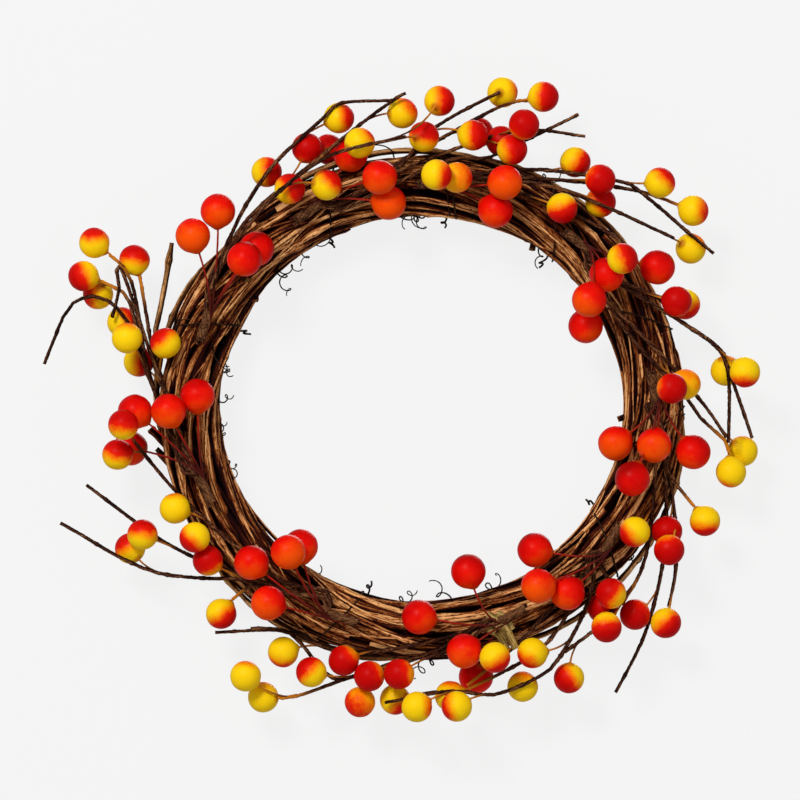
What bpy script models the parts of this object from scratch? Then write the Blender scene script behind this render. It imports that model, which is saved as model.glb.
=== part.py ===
"""Harvest door wreath: a ring of grapevine canes with nine wired-on berry picks.

The wreath hangs upright. X runs across it, Z up, and -Y towards the room. The origin is the
point inside the top of the ring where a door hook carries it, midway through its depth.
Sizes and places are in millimetres until to_world turns them into metres.
"""
import math

import bmesh
import bpy
from mathutils import Vector

MM = 0.001
WELD = 0.01

# Ring of canes: a slightly flat oval, measured along the middle of the bundle. Bearings are
# clock bearings in degrees: 0 at the top, growing clockwise as seen from the room.
RING_HALF_WIDTH = 137.0
RING_HALF_HEIGHT = 132.0
CANE_DIAMETER = 6.0
CANE_GAP = 0.6
# Canes in each layer of the bundle, and how many pitches the layer lies from its middle.
CANE_LAYERS = ((1, 0), (6, 1), (12, 2))
# The bundle is drawn at this many even bearings, and each cane's lap stops one short.
CANE_STATIONS = 24
STATION_PHASE = 5.0
# Each cane's lap starts this many stations after the one before it.
CANE_STAGGER = 7
TWIST_TURNS = 1
LOOSE_CANE_DIAMETER = 4.6
LOOSE_STEP = 7.0
CANE_SIDES = 6
INNER_CANE_SIDES = 4
# Each loose cane on the outside: start bearing, end bearing, place round the bundle.
LOOSE_CANES = ((318, 384, 12), (6, 62, -16), (92, 158, 4), (186, 238, 14), (262, 306, -8))

# Wire ties round the bundle, each at one of its stations.
TIE_DIAMETER = 1.4
TIE_SIDES = 12
WIRE_SIDES = 4
TIE_STATIONS = (0, 2, 4, 6, 8, 13, 19, 22)

# Berry picks: two stems side by side in a sleeve of tape, lying along the front of the ring.
CLEARANCE = 0.4
TWO_TONE_DIAMETER = 18.0
RED_DIAMETER = 20.4
TWIG_DIAMETER = 2.4
WIRE_DIAMETER = 1.4
TWIG_STEM_DIAMETER = 4.0
RED_STEM_DIAMETER = 3.0
TAPE_WALL = 0.6
TAPE_LENGTH = 14.0
TAPE_START = 4.0
STEM_LENGTH = 22.0
STEM_SIDES = 6
TAPE_SIDES = 8
BERRY_SEGMENTS = 8
BERRY_RINGS = 4
ROUTE_STEP = 16.0
# A wire leaves its twig this far before its berry: at the twig's end, and beside the twig,
# where a berry further from the twig takes less by this share of its distance.
WIRE_BACK_AT_END = 6.0
WIRE_BACK_BESIDE = 24.0
WIRE_BACK_SHARE = 0.3
WIRE_START_SHARE = 0.4
# A twig comes down from the stem to the lift of its free end over this length.
TWIG_SETTLE = 60.0
# Twigs fan out from the stem: their pitch at the fork and inside the stem, how far each
# root lies before the last one, and how far twigs that fork at one place are kept apart.
TWIG_PITCH = 1.6
TWIG_ROOT_PITCH = 0.1
TWIG_STAGGER = 0.8
RANK_STAGGER = 0.1
# A red berry's wire bends over the twigs: past the stem's end, and aside of the stem.
RED_KNEE_PAST = 3.0
RED_KNEE_ASIDE = 0.4
RED_STAGGER = 0.8

BARK = (0.30, 0.17, 0.08, 1.0)
LOOSE_BARK = (0.42, 0.25, 0.12, 1.0)
TIE_BROWN = (0.10, 0.05, 0.03, 1.0)
TAPE_BROWN = (0.13, 0.06, 0.03, 1.0)
BERRY_YELLOW = (0.95, 0.62, 0.02, 1.0)
BERRY_RED = (0.70, 0.02, 0.01, 1.0)
BARK_ROUGHNESS = 0.75
WRAP_ROUGHNESS = 0.65
BERRY_ROUGHNESS = 0.4

# Worked-out sizes.
CANE_PITCH = CANE_DIAMETER + CANE_GAP
BUNDLE_RADIUS = CANE_PITCH * CANE_LAYERS[-1][1] + CANE_DIAMETER / 2
TIE_RADIUS = (BUNDLE_RADIUS + CLEARANCE) / math.cos(math.pi / TIE_SIDES) + TIE_DIAMETER / 2
TIED_RADIUS = TIE_RADIUS + TIE_DIAMETER / 2
LOOSE_PLACE = TIED_RADIUS + CLEARANCE + LOOSE_CANE_DIAMETER / 2
TAPE_BORE = (TWIG_STEM_DIAMETER + RED_STEM_DIAMETER + 3 * CLEARANCE) / 2
TAPE_RADIUS = TAPE_BORE + TAPE_WALL
STEM_LIFT = TIED_RADIUS + CLEARANCE + TAPE_RADIUS
TWIG_STEM_OUT = RED_STEM_DIAMETER / 2 + CLEARANCE / 2
RED_STEM_OUT = -TWIG_STEM_DIAMETER / 2 - CLEARANCE / 2
CENTRE_DROP = RING_HALF_HEIGHT - BUNDLE_RADIUS


class Pick:
    """One berry pick, wired on at a clock bearing of the ring.

    Places on it are in millimetres: along the ring clockwise, outwards, and lift towards
    the room. All its pieces start in one stem, and its fork is where the twigs part.
    """

    def __init__(self, name, bearing, fork, twigs, berries, reds):
        self.name = name
        self.bearing = math.radians(bearing)
        self.side = 1 if fork[1] >= 0 else -1
        self.fork = fork
        # Each twig: the lift of its free end, then its points as (along, outwards).
        self.twigs = twigs
        # Each two-tone berry: along, outwards, lift, its twig, the bow of its wire.
        self.berries = berries
        # Each red berry: along, outwards, lift, how far its wire rises over the twigs.
        self.reds = reds

    def place(self, along, out, lift=0.0):
        """World point, in millimetres from the ring's centre, of a place on the pick."""
        start = ring_point(self.bearing)
        x = start.x + along * math.cos(self.bearing) + out * math.sin(self.bearing)
        z = start.z - along * math.sin(self.bearing) + out * math.cos(self.bearing)
        return Vector((x, -lift, z))


def ring_point(bearing):
    """The middle of the bundle at a clock bearing: 0 at the top, turning clockwise."""
    side = math.sin(bearing)
    up = math.cos(bearing)
    reach = 1 / math.hypot(side / RING_HALF_WIDTH, up / RING_HALF_HEIGHT)
    return Vector((reach * side, 0, reach * up))


def outward(bearing):
    """Unit vector square to the oval, pointing away from the opening."""
    side = math.sin(bearing) / RING_HALF_WIDTH
    up = math.cos(bearing) / RING_HALF_HEIGHT
    return Vector((side, 0, up)).normalized()


def lift_over_bundle(point, radius):
    """How far towards the room a wire of this radius has to be to lie on the tied bundle."""
    share = math.hypot(point.x / RING_HALF_WIDTH, point.z / RING_HALF_HEIGHT)
    beside = math.hypot(point.x, point.z) * (1 - 1 / share)
    reach = TIED_RADIUS + CLEARANCE + radius
    if abs(beside) >= reach:
        return -reach
    return math.sqrt(reach ** 2 - beside ** 2)


def smooth_route(points, step):
    """A curve through the given points, read at about every step."""
    points = [Vector(point) for point in points]
    route = []
    for index in range(len(points) - 1):
        before = points[max(index - 1, 0)]
        start = points[index]
        end = points[index + 1]
        after = points[min(index + 2, len(points) - 1)]
        count = max(1, round((end - start).length / step))
        for number in range(count):
            t = number / count
            slope = (end - before) * t
            bend = (2 * before - 5 * start + 4 * end - after) * t ** 2
            turn = (3 * start - before - 3 * end + after) * t ** 3
            route.append(start + (slope + bend + turn) / 2)
    route.append(points[-1])
    return route


def twig_route(pick, number):
    """A twig leaves its stem beside the others and settles to the lift of its free end."""
    end_lift, points = pick.twigs[number]
    outs = sorted(pick.side * twig[1][0][1] for twig in pick.twigs)
    rank = outs.index(pick.side * points[0][1]) + RANK_STAGGER * number
    nearest = max(pick.side * pick.fork[1] - TWIG_PITCH, TWIG_STEM_OUT)
    aside = pick.side * (TWIG_STEM_OUT + rank * TWIG_ROOT_PITCH)
    root = (STEM_LENGTH - TWIG_STAGGER * (number + 1), aside)
    fork = (pick.fork[0], pick.side * (nearest + rank * TWIG_PITCH))
    plan = smooth_route([point + (0,) for point in [root, fork] + points], ROUTE_STEP)
    route = []
    travelled = 0.0
    for index, point in enumerate(plan):
        travelled += (point - plan[max(index - 1, 0)]).length
        share = max(0.0, 1 - travelled / TWIG_SETTLE)
        ease = share * share * (3 - 2 * share)
        world = pick.place(point.x, point.y)
        lift = end_lift + (STEM_LIFT - end_lift) * ease
        world.y = -max(lift, lift_over_bundle(world, TWIG_DIAMETER / 2))
        route.append(world)
    return route


def wire_route(start, berry, bow):
    """A wire bends once on its way into the berry, towards the room where its bow is above 0."""
    return [start, (start + berry) / 2 + Vector((0, -bow / 2, 0)), berry]


def berry_wire_route(pick, routes, berry):
    """A two-tone berry's wire leaves its twig a little before the berry."""
    along, out, lift, twig, bow = berry
    centre = pick.place(along, out, lift)
    route = routes[twig]
    gaps = [math.hypot(point.x - centre.x, point.z - centre.z) for point in route]
    index = gaps.index(min(gaps))
    back = WIRE_BACK_AT_END
    if index < len(route) - 1:
        back = max(back, WIRE_BACK_BESIDE - WIRE_BACK_SHARE * gaps[index])
    travelled = 0.0
    while index > 0 and travelled < back:
        travelled += (route[index] - route[index - 1]).length
        index -= 1
    return wire_route(route[index].lerp(route[index + 1], WIRE_START_SHARE), centre, bow)


def material(name, colour, roughness):
    made = bpy.data.materials.new(name)
    made.use_nodes = True
    shader = made.node_tree.nodes["Principled BSDF"]
    shader.inputs["Base Color"].default_value = colour
    shader.inputs["Roughness"].default_value = roughness
    return made


def to_world(point):
    return Vector((point.x, point.y, point.z - CENTRE_DROP)) * MM


def tube(name, route, radius, sides=WIRE_SIDES, cyclic=False):
    """A curve object of round section with closed ends, along points in millimetres."""
    curve = bpy.data.curves.new(name, "CURVE")
    curve.dimensions = "3D"
    curve.bevel_depth = radius * MM
    # A bevel has four sides at resolution 0, and two more for each step above it.
    curve.bevel_resolution = (sides - 4) // 2
    curve.use_fill_caps = True
    spline = curve.splines.new("POLY")
    spline.points.add(len(route) - 1)
    for place, point in zip(spline.points, route):
        place.co = (*to_world(point), 1)
    spline.use_cyclic_u = cyclic
    return bpy.data.objects.new(name, curve)


def as_mesh(obj, collection):
    """The curve as one closed mesh object, its caps welded on."""
    collection.objects.link(obj)
    graph = bpy.context.evaluated_depsgraph_get()
    mesh = bpy.data.meshes.new_from_object(obj.evaluated_get(graph))
    shape = bmesh.new()
    shape.from_mesh(mesh)
    bmesh.ops.remove_doubles(shape, verts=shape.verts, dist=WELD * MM)
    bmesh.ops.recalc_face_normals(shape, faces=shape.faces)
    shape.to_mesh(mesh)
    shape.free()
    made = bpy.data.objects.new(obj.name, mesh)
    made.matrix_world = obj.matrix_world
    curve = obj.data
    bpy.data.objects.remove(obj)
    bpy.data.curves.remove(curve)
    made.name = mesh.name
    collection.objects.link(made)
    return made


def ball(name, centre, diameter, collection):
    mesh = bpy.data.meshes.new(name)
    shape = bmesh.new()
    bmesh.ops.create_uvsphere(
        shape,
        u_segments=BERRY_SEGMENTS,
        v_segments=BERRY_RINGS,
        radius=diameter / 2 * MM,
    )
    shape.to_mesh(mesh)
    shape.free()
    made = bpy.data.objects.new(name, mesh)
    made.location = to_world(centre)
    collection.objects.link(made)
    return made


def station_bearing(number):
    return math.radians(STATION_PHASE + 360 * number / CANE_STATIONS)


def beside_bundle(bearing, angle):
    """Unit vector from the bundle's middle: angle 0 is outwards, 90 degrees is to the room."""
    return outward(bearing) * math.cos(angle) + Vector((0, -1, 0)) * math.sin(angle)


def cane_route(layer, place, count, start):
    """One cane's lap: it keeps its place in the bundle, which twists as it goes round."""
    route = []
    for number in range(start, start + CANE_STATIONS):
        bearing = station_bearing(number)
        angle = 2 * math.pi * place / count + TWIST_TURNS * bearing
        route.append(ring_point(bearing) + beside_bundle(bearing, angle) * layer * CANE_PITCH)
    return route


def make_canes(wreath):
    bark = material("bark", BARK, BARK_ROUGHNESS)
    number = 0
    for count, layer in CANE_LAYERS:
        for place in range(count):
            number += 1
            route = cane_route(layer, place, count, number * CANE_STAGGER)
            sides = CANE_SIDES if layer == CANE_LAYERS[-1][1] else INNER_CANE_SIDES
            cane = tube(f"vine_cane_{number:02d}", route, CANE_DIAMETER / 2, sides)
            cane.data.materials.append(bark)
            wreath.objects.link(cane)


def make_loose_canes(wreath):
    bark = material("loose_bark", LOOSE_BARK, BARK_ROUGHNESS)
    for number, (start, end, place) in enumerate(LOOSE_CANES, 1):
        steps = round((end - start) / LOOSE_STEP)
        angle = math.radians(place)
        route = []
        for step in range(steps + 1):
            bearing = math.radians(start + (end - start) * step / steps)
            route.append(ring_point(bearing) + beside_bundle(bearing, angle) * LOOSE_PLACE)
        cane = tube(f"loose_cane_{number}", route, LOOSE_CANE_DIAMETER / 2, CANE_SIDES)
        cane.data.materials.append(bark)
        wreath.objects.link(cane)


def make_ties(wreath):
    brown = material("tie_wire", TIE_BROWN, WRAP_ROUGHNESS)
    for number, station in enumerate(TIE_STATIONS, 1):
        bearing = station_bearing(station)
        route = []
        for step in range(TIE_SIDES):
            angle = 2 * math.pi * step / TIE_SIDES
            route.append(ring_point(bearing) + beside_bundle(bearing, angle) * TIE_RADIUS)
        tie = tube(f"tie_wire_{number}", route, TIE_DIAMETER / 2, WIRE_SIDES, cyclic=True)
        tie.data.materials.append(brown)
        wreath.objects.link(tie)


def join(stem, pieces, name, finish, wreath, cutters):
    """The stem with its twigs, wires and berries as one body."""
    group = bpy.data.collections.new(name + "_pieces")
    cutters.children.link(group)
    for piece in pieces:
        cutters.objects.unlink(piece)
        group.objects.link(piece)
        piece.hide_render = True
        piece.display_type = "WIRE"
    cutters.objects.unlink(stem)
    wreath.objects.link(stem)
    stem.name = name
    stem.data.materials.append(finish)
    union = stem.modifiers.new("join", "BOOLEAN")
    union.operation = "UNION"
    union.operand_type = "COLLECTION"
    union.collection = group
    union.solver = "EXACT"


def two_tone_spray(pick, cutters):
    """Paper-wrapped twigs with two-tone berries on wires, gathered into one stem."""
    out = pick.side * TWIG_STEM_OUT
    route = [pick.place(0, out, STEM_LIFT), pick.place(STEM_LENGTH, out, STEM_LIFT)]
    stem = as_mesh(tube("stem", route, TWIG_STEM_DIAMETER / 2, STEM_SIDES), cutters)
    routes = [twig_route(pick, number) for number in range(len(pick.twigs))]
    pieces = []
    for route in routes:
        pieces.append(as_mesh(tube("twig", route, TWIG_DIAMETER / 2), cutters))
    for berry in pick.berries:
        route = berry_wire_route(pick, routes, berry)
        pieces.append(as_mesh(tube("wire", route, WIRE_DIAMETER / 2), cutters))
        pieces.append(ball("berry", pick.place(*berry[:3]), TWO_TONE_DIAMETER, cutters))
    return stem, pieces, f"{pick.name}_two_tone_spray"


def red_spray(pick, cutters):
    """Red berries on red wires, gathered into one thin stem beside the twigs' stem."""
    out = pick.side * RED_STEM_OUT
    start = pick.place(0, out, STEM_LIFT)
    end = pick.place(STEM_LENGTH, out, STEM_LIFT)
    stem = as_mesh(tube("stem", [start, end], RED_STEM_DIAMETER / 2, STEM_SIDES), cutters)
    pieces = []
    for number, (along, outwards, lift, rise) in enumerate(pick.reds):
        centre = pick.place(along, outwards, lift)
        inside = end.lerp(start, RED_STAGGER * (number + 1) / STEM_LENGTH)
        aside = out - pick.side * RED_KNEE_ASIDE
        knee = pick.place(STEM_LENGTH + RED_KNEE_PAST, aside, STEM_LIFT + rise)
        route = [inside, knee, centre]
        pieces.append(as_mesh(tube("wire", route, WIRE_DIAMETER / 2), cutters))
        pieces.append(ball("berry", centre, RED_DIAMETER, cutters))
    return stem, pieces, f"{pick.name}_red_spray"


def make_tape(pick, finish, wreath):
    """A short sleeve of floral tape holds the two stems together."""
    mesh = bpy.data.meshes.new("tape")
    shape = bmesh.new()
    bmesh.ops.create_cone(
        shape,
        segments=TAPE_SIDES,
        radius1=TAPE_RADIUS * MM,
        radius2=TAPE_RADIUS * MM,
        depth=TAPE_LENGTH * MM,
    )
    shape.to_mesh(mesh)
    shape.free()
    sleeve = bpy.data.objects.new(f"{pick.name}_tape", mesh)
    start = pick.place(TAPE_START, 0, STEM_LIFT)
    end = pick.place(TAPE_START + TAPE_LENGTH, 0, STEM_LIFT)
    sleeve.location = to_world((start + end) / 2)
    sleeve.rotation_euler = (end - start).to_track_quat("Z", "Y").to_euler()
    wall = sleeve.modifiers.new("wall", "SOLIDIFY")
    wall.thickness = TAPE_WALL * MM
    wall.offset = -1
    sleeve.data.materials.append(finish)
    wreath.objects.link(sleeve)


PICKS = [
    Pick("left", 245, (25, 3),
        twigs=[
            (17, [(76, 3), (91, 1), (139, -12), (159, -7)]),
            (14, [(70, -2), (96, -6), (140, -18)]),
            (14, [(74, 3), (129, -6), (136, -5), (147, 4)]),
            (14, [(88, 2), (119, 0), (135, 5), (141, 12), (142, 24), (137, 33), (117, 55)]),
            (16, [(151, -10), (149, -7), (139, -4), (125, 7)]),
        ],
        berries=[
            (141, 9, 1, 2, 0), (120, 3, 3, 2, 0), (95, 4, 0, 1, 0), (154, 12, 14, 2, 0),
            (169, -2, 14, 0, 0), (150, -19, 10, 1, 0), (110, 4, 34, 0, 0), (98, -15, 21, 1, 0),
        ],
        reds=[(51, 30, 0, 12), (69, 18, 29, 4), (61, 0, 38, 4), (62, -19, 29, 4)],
    ),
    Pick("upper_left", 286, (34, 2),
        twigs=[
            (24, [(58, -1), (89, -13), (160, -63), (175, -76)]),
            (48, [(60, -3), (93, -17), (118, -35), (132, -51), (150, -83)]),
            (22, [(57, 1), (86, -4), (115, -14), (149, -34), (159, -41), (168, -69)]),
        ],
        berries=[
            (131, -41, -3, 1, 0), (102, -26, 34, 0, 0), (108, -10, 10, 2, 0), (128, -29, 14, 0, 0),
            (150, -42, 14, 2, 0), (139, -58, 36, 1, 0), (110, -46, 36, 1, 0), (163, -77, 14, 0, 0),
            (176, -96, 14, 1, 24), (153, -93, 28, 1, 0),
        ],
        reds=[(63, -17, 29, 7), (60, 21, 33, 7), (78, 11, 26, 3), (55, -12, 48, 7)],
    ),
    Pick("top", 325, (27, -7),
        twigs=[
            (16, [(43, -9), (71, -9), (101, -2), (144, -7)]),
            (12, [(45, -8), (74, -7), (138, -14), (154, -21)]),
            (14, [(47, -9), (68, -11), (136, -30), (170, -57)]),
            (15, [(92, -21), (112, -33), (127, -37), (174, -44)]),
        ],
        berries=[
            (120, -19, -4, 1, 0), (128, -31, 8, 2, 0), (94, -34, 40, 2, 0), (116, -19, 24, 0, 0),
            (144, -31, 34, 2, 0), (130, -39, 25, 2, 0), (145, -8, 4, 0, 0), (163, -24, 17, 1, 0),
            (85, -26, 54, 2, 0),
        ],
        reds=[(51, 13, 17, 3), (53, -23, 28, 4), (57, -8, 42, 3)],
    ),
    Pick("top_right", 358, (24, 0),
        twigs=[
            (14, [(45, 5), (74, 6), (119, -2), (134, -10), (174, -46)]),
            (12, [(45, 4), (94, -1), (132, -8), (154, -17)]),
            (20, [(45, 2), (87, -6), (151, -37)]),
            (14, [(45, -2), (77, -13), (120, -37), (123, -42), (122, -48), (111, -65)]),
        ],
        berries=[
            (95, 10, 6, 0, 0), (109, -14, 9, 2, 0), (109, -1, 26, 1, 0), (86, -17, 29, 3, 0),
            (161, -43, 5, 2, 0), (144, -4, 20, 0, 0), (163, -21, 16, 1, 0), (120, -48, 52, 3, 0),
        ],
        reds=[(47, -17, 28, 4), (53, -1, 40, 4)],
    ),
    Pick("upper_right", 38, (24, -6),
        twigs=[
            (24, [(46, -3), (70, 3), (82, 0), (108, 2), (118, 1), (163, -28)]),
            (24, [(49, -4), (111, 2), (123, -2), (134, -12), (154, -38)]),
            (14, [(47, -16), (118, -27), (151, -37)]),
            (14, [(50, -18), (78, -26), (117, -32), (132, -37), (152, -39), (158, -43)]),
        ],
        berries=[
            (84, 10, 14, 0, 0), (127, -6, 13, 1, 0), (113, -27, 25, 3, 0), (79, 8, 32, 0, 0),
            (136, 0, 30, 0, 0), (108, -34, 42, 2, 0), (164, -37, 2, 2, 0), (166, -51, 14, 3, 0),
        ],
        reds=[(46, -36, 17, 9), (37, -5, 36, 4), (38, -23, 47, 21), (58, 17, 24, 4)],
    ),
    Pick("right", 80, (22, -2),
        twigs=[
            (6, [(43, -1), (101, -9), (150, -28), (184, -53)]),
            (6, [(43, 1), (99, -2), (126, -8), (140, -14)]),
            (11, [(43, -4), (106, -21), (134, -41)]),
            (14, [(43, -1), (61, -1), (84, 11)]),
        ],
        berries=[
            (96, -7, 14, 1, 0), (94, 16, 14, 3, 0), (93, -26, 35, 2, 0), (107, -8, 29, 1, 40),
            (141, -34, 15, 0, 0), (149, -17, 14, 1, 0), (134, -52, 14, 2, 0), (126, -46, 34, 2, 0),
            (145, -52, 34, 2, 21),
        ],
        reds=[(62, -22, 38, 16), (40, -28, 25, 6), (45, -6, 32, 4), (53, 16, 24, 4)],
    ),
    Pick("lower_right", 120, (24, -3),
        twigs=[
            (24, [(48, 6), (86, 8), (103, 3), (124, -14), (135, -38), (160, -68)]),
            (12, [(53, -1), (89, -4), (129, -29)]),
            (14, [(56, -7), (69, -12), (90, -16), (128, -31)]),
            (23, [(45, 21), (82, 9)]),
        ],
        berries=[
            (138, -36, 14, 1, 0), (156, -63, 12, 0, 0), (92, -7, 23, 0, 0), (112, -2, 13, 0, 0),
            (94, 19, 14, 3, 0), (105, -25, 39, 2, 0), (153, -50, 32, 0, 0), (141, -30, 32, 0, 0),
        ],
        reds=[(56, -24, 43, 10), (39, -36, 24, 7), (51, -7, 32, 5)],
    ),
    Pick("bottom", 152, (25, -3),
        twigs=[
            (13, [(57, -3), (88, -7), (119, -15), (123, -22), (130, -52), (149, -65)]),
            (10, [(43, -4), (93, -20), (115, -34), (133, -55), (169, -73)]),
            (14, [(59, 0), (81, -7), (143, -17), (154, -22)]),
        ],
        berries=[
            (130, -26, 22, 2, 0), (110, -23, 19, 1, 0), (101, -8, 25, 2, 0), (139, -44, 14, 1, 0),
            (113, 3, 14, 2, 0), (165, -42, 22, 2, 0), (162, -26, 7, 2, 0), (85, -1, 31, 2, 0),
        ],
        reds=[(46, 22, 0, 4), (59, -25, 28, 4), (21, -35, 26, 6), (45, 5, 32, 4)],
    ),
    Pick("lower_left", 196, (24, -10),
        twigs=[
            (10, [(51, -7), (117, -13), (177, -34)]),
            (14, [(50, -5), (75, -6), (98, 0), (132, 4), (185, -8)]),
            (14, [(52, -12), (99, -31), (132, -49), (158, -67)]),
            (14, [(45, -7), (62, -8), (71, 0), (76, 7)]),
        ],
        berries=[
            (142, -5, 4, 1, 0), (96, -11, 24, 1, 0), (123, -35, 23, 2, 0), (80, 17, 14, 3, 0),
            (164, -56, 19, 2, 0), (107, -22, 34, 0, -4), (137, -15, 20, 0, 0),
            (165, -74, 47, 2, 0),
        ],
        reds=[(46, -34, 24, 4), (55, 3, 36, 4), (71, -17, 33, 4), (52, -29, 44, 4)],
    ),
]


def make_wreath():
    for obj in list(bpy.data.objects):
        bpy.data.objects.remove(obj)
    wreath = bpy.data.collections.new("harvest_wreath")
    bpy.context.scene.collection.children.link(wreath)
    cutters = bpy.data.collections.new("joined_pieces")
    bpy.context.scene.collection.children.link(cutters)
    make_canes(wreath)
    make_loose_canes(wreath)
    make_ties(wreath)
    yellow = material("two_tone_berry", BERRY_YELLOW, BERRY_ROUGHNESS)
    red = material("red_berry", BERRY_RED, BERRY_ROUGHNESS)
    tape = material("floral_tape", TAPE_BROWN, WRAP_ROUGHNESS)
    sprays = []
    for pick in PICKS:
        sprays.append((*two_tone_spray(pick, cutters), yellow))
        sprays.append((*red_spray(pick, cutters), red))
        make_tape(pick, tape, wreath)
    for stem, pieces, name, finish in sprays:
        join(stem, pieces, name, finish, wreath, cutters)
    cutters.hide_render = True


make_wreath()
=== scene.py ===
"""The looks of a harvest door wreath: bark, tendrils, paper-wrapped twigs and painted berries.

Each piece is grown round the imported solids, in metres, with +Z up and -Y towards the room.
"""
import math
import random

import bpy
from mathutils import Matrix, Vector


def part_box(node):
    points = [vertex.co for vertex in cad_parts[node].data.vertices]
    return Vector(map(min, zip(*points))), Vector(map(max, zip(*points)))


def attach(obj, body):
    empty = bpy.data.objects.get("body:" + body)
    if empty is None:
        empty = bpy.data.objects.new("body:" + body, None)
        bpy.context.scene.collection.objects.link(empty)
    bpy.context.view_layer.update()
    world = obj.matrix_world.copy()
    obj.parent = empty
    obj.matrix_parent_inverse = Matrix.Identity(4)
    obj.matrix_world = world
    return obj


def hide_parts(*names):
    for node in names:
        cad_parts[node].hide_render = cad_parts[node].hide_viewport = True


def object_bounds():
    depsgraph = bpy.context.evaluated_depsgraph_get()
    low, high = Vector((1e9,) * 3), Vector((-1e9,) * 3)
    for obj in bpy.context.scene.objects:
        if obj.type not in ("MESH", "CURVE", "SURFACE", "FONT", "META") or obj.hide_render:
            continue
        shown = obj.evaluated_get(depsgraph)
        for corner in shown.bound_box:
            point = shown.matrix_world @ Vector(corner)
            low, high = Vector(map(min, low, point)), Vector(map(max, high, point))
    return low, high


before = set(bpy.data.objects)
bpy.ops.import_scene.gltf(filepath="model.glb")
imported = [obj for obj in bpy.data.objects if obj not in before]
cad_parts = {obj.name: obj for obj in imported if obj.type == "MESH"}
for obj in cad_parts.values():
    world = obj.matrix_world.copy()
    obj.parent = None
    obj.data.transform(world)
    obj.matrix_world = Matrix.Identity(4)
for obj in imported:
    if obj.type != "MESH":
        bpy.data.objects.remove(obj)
cad_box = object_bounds()

# ---------------------------------------------------------------------------------------
# Vine canes. The base is laps of dried grapevine wound on top of each other into an oval,
# still in their stringy bark, which splits into tan ridges over dark brown. They hold by
# their own spring, their twist and the ties.
# ---------------------------------------------------------------------------------------
MM = 0.001
CANE_COUNT = 19
cane_nodes = [f"vine_cane_{number:02d}" for number in range(1, CANE_COUNT + 1)]
ring_low = Vector([min(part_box(name)[0][axis] for name in cane_nodes) for axis in range(3)])
ring_high = Vector([max(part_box(name)[1][axis] for name in cane_nodes) for axis in range(3)])
ring_centre = (ring_low + ring_high) / 2
bundle_radius = (ring_high.y - ring_low.y) / 2
ring_half_width = (ring_high.x - ring_low.x) / 2 - bundle_radius
ring_half_height = (ring_high.z - ring_low.z) / 2 - bundle_radius


def ring_point(bearing):
    """The middle of the bundle at a clock bearing: 0 at the top, turning clockwise."""
    side = math.sin(bearing)
    up = math.cos(bearing)
    reach = 1 / math.hypot(side / ring_half_width, up / ring_half_height)
    return ring_centre + Vector((reach * side, 0, reach * up))


def beside_bundle(bearing, angle):
    """Unit vector from the bundle's middle: angle 0 is outwards, 90 degrees is to the room."""
    out = Vector((math.sin(bearing) / ring_half_width, 0, math.cos(bearing) / ring_half_height))
    return out.normalized() * math.cos(angle) + Vector((0, -1, 0)) * math.sin(angle)


def on_bundle(bearing, angle, reach):
    """A place round the bundle, all angles in degrees."""
    bearing = math.radians(bearing)
    return ring_point(bearing) + beside_bundle(bearing, math.radians(angle)) * reach


class Strand:
    """One output of a node, which plus, minus, times and divide turn into Math nodes."""

    def __init__(self, bench, socket):
        self.bench = bench
        self.socket = socket

    def math(self, operation, first, second=0.0, third=0.0):
        sockets = {0: first, 1: second, 2: third}
        return self.bench.node("ShaderNodeMath", {"operation": operation}, sockets)

    def __add__(self, other):
        return self.math("ADD", self, other)

    def __radd__(self, other):
        return self.math("ADD", other, self)

    def __sub__(self, other):
        return self.math("SUBTRACT", self, other)

    def __rsub__(self, other):
        return self.math("SUBTRACT", other, self)

    def __mul__(self, other):
        return self.math("MULTIPLY", self, other)

    def __rmul__(self, other):
        return self.math("MULTIPLY", other, self)

    def __truediv__(self, other):
        return self.math("DIVIDE", self, other)

    def __rtruediv__(self, other):
        return self.math("DIVIDE", other, self)

    def __pow__(self, other):
        return self.math("POWER", self, other)

    def size(self):
        return self.math("ABSOLUTE", self)

    def wave(self):
        return self.math("SINE", self)

    def held(self):
        """Kept between 0 and 1."""
        return self.math("MINIMUM", self.math("MAXIMUM", self, 0.0), 1.0)

    def rising(self, start, slope):
        """0 up to a start, then up to 1 at a slope."""
        return ((self - start) * slope).held()


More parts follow.
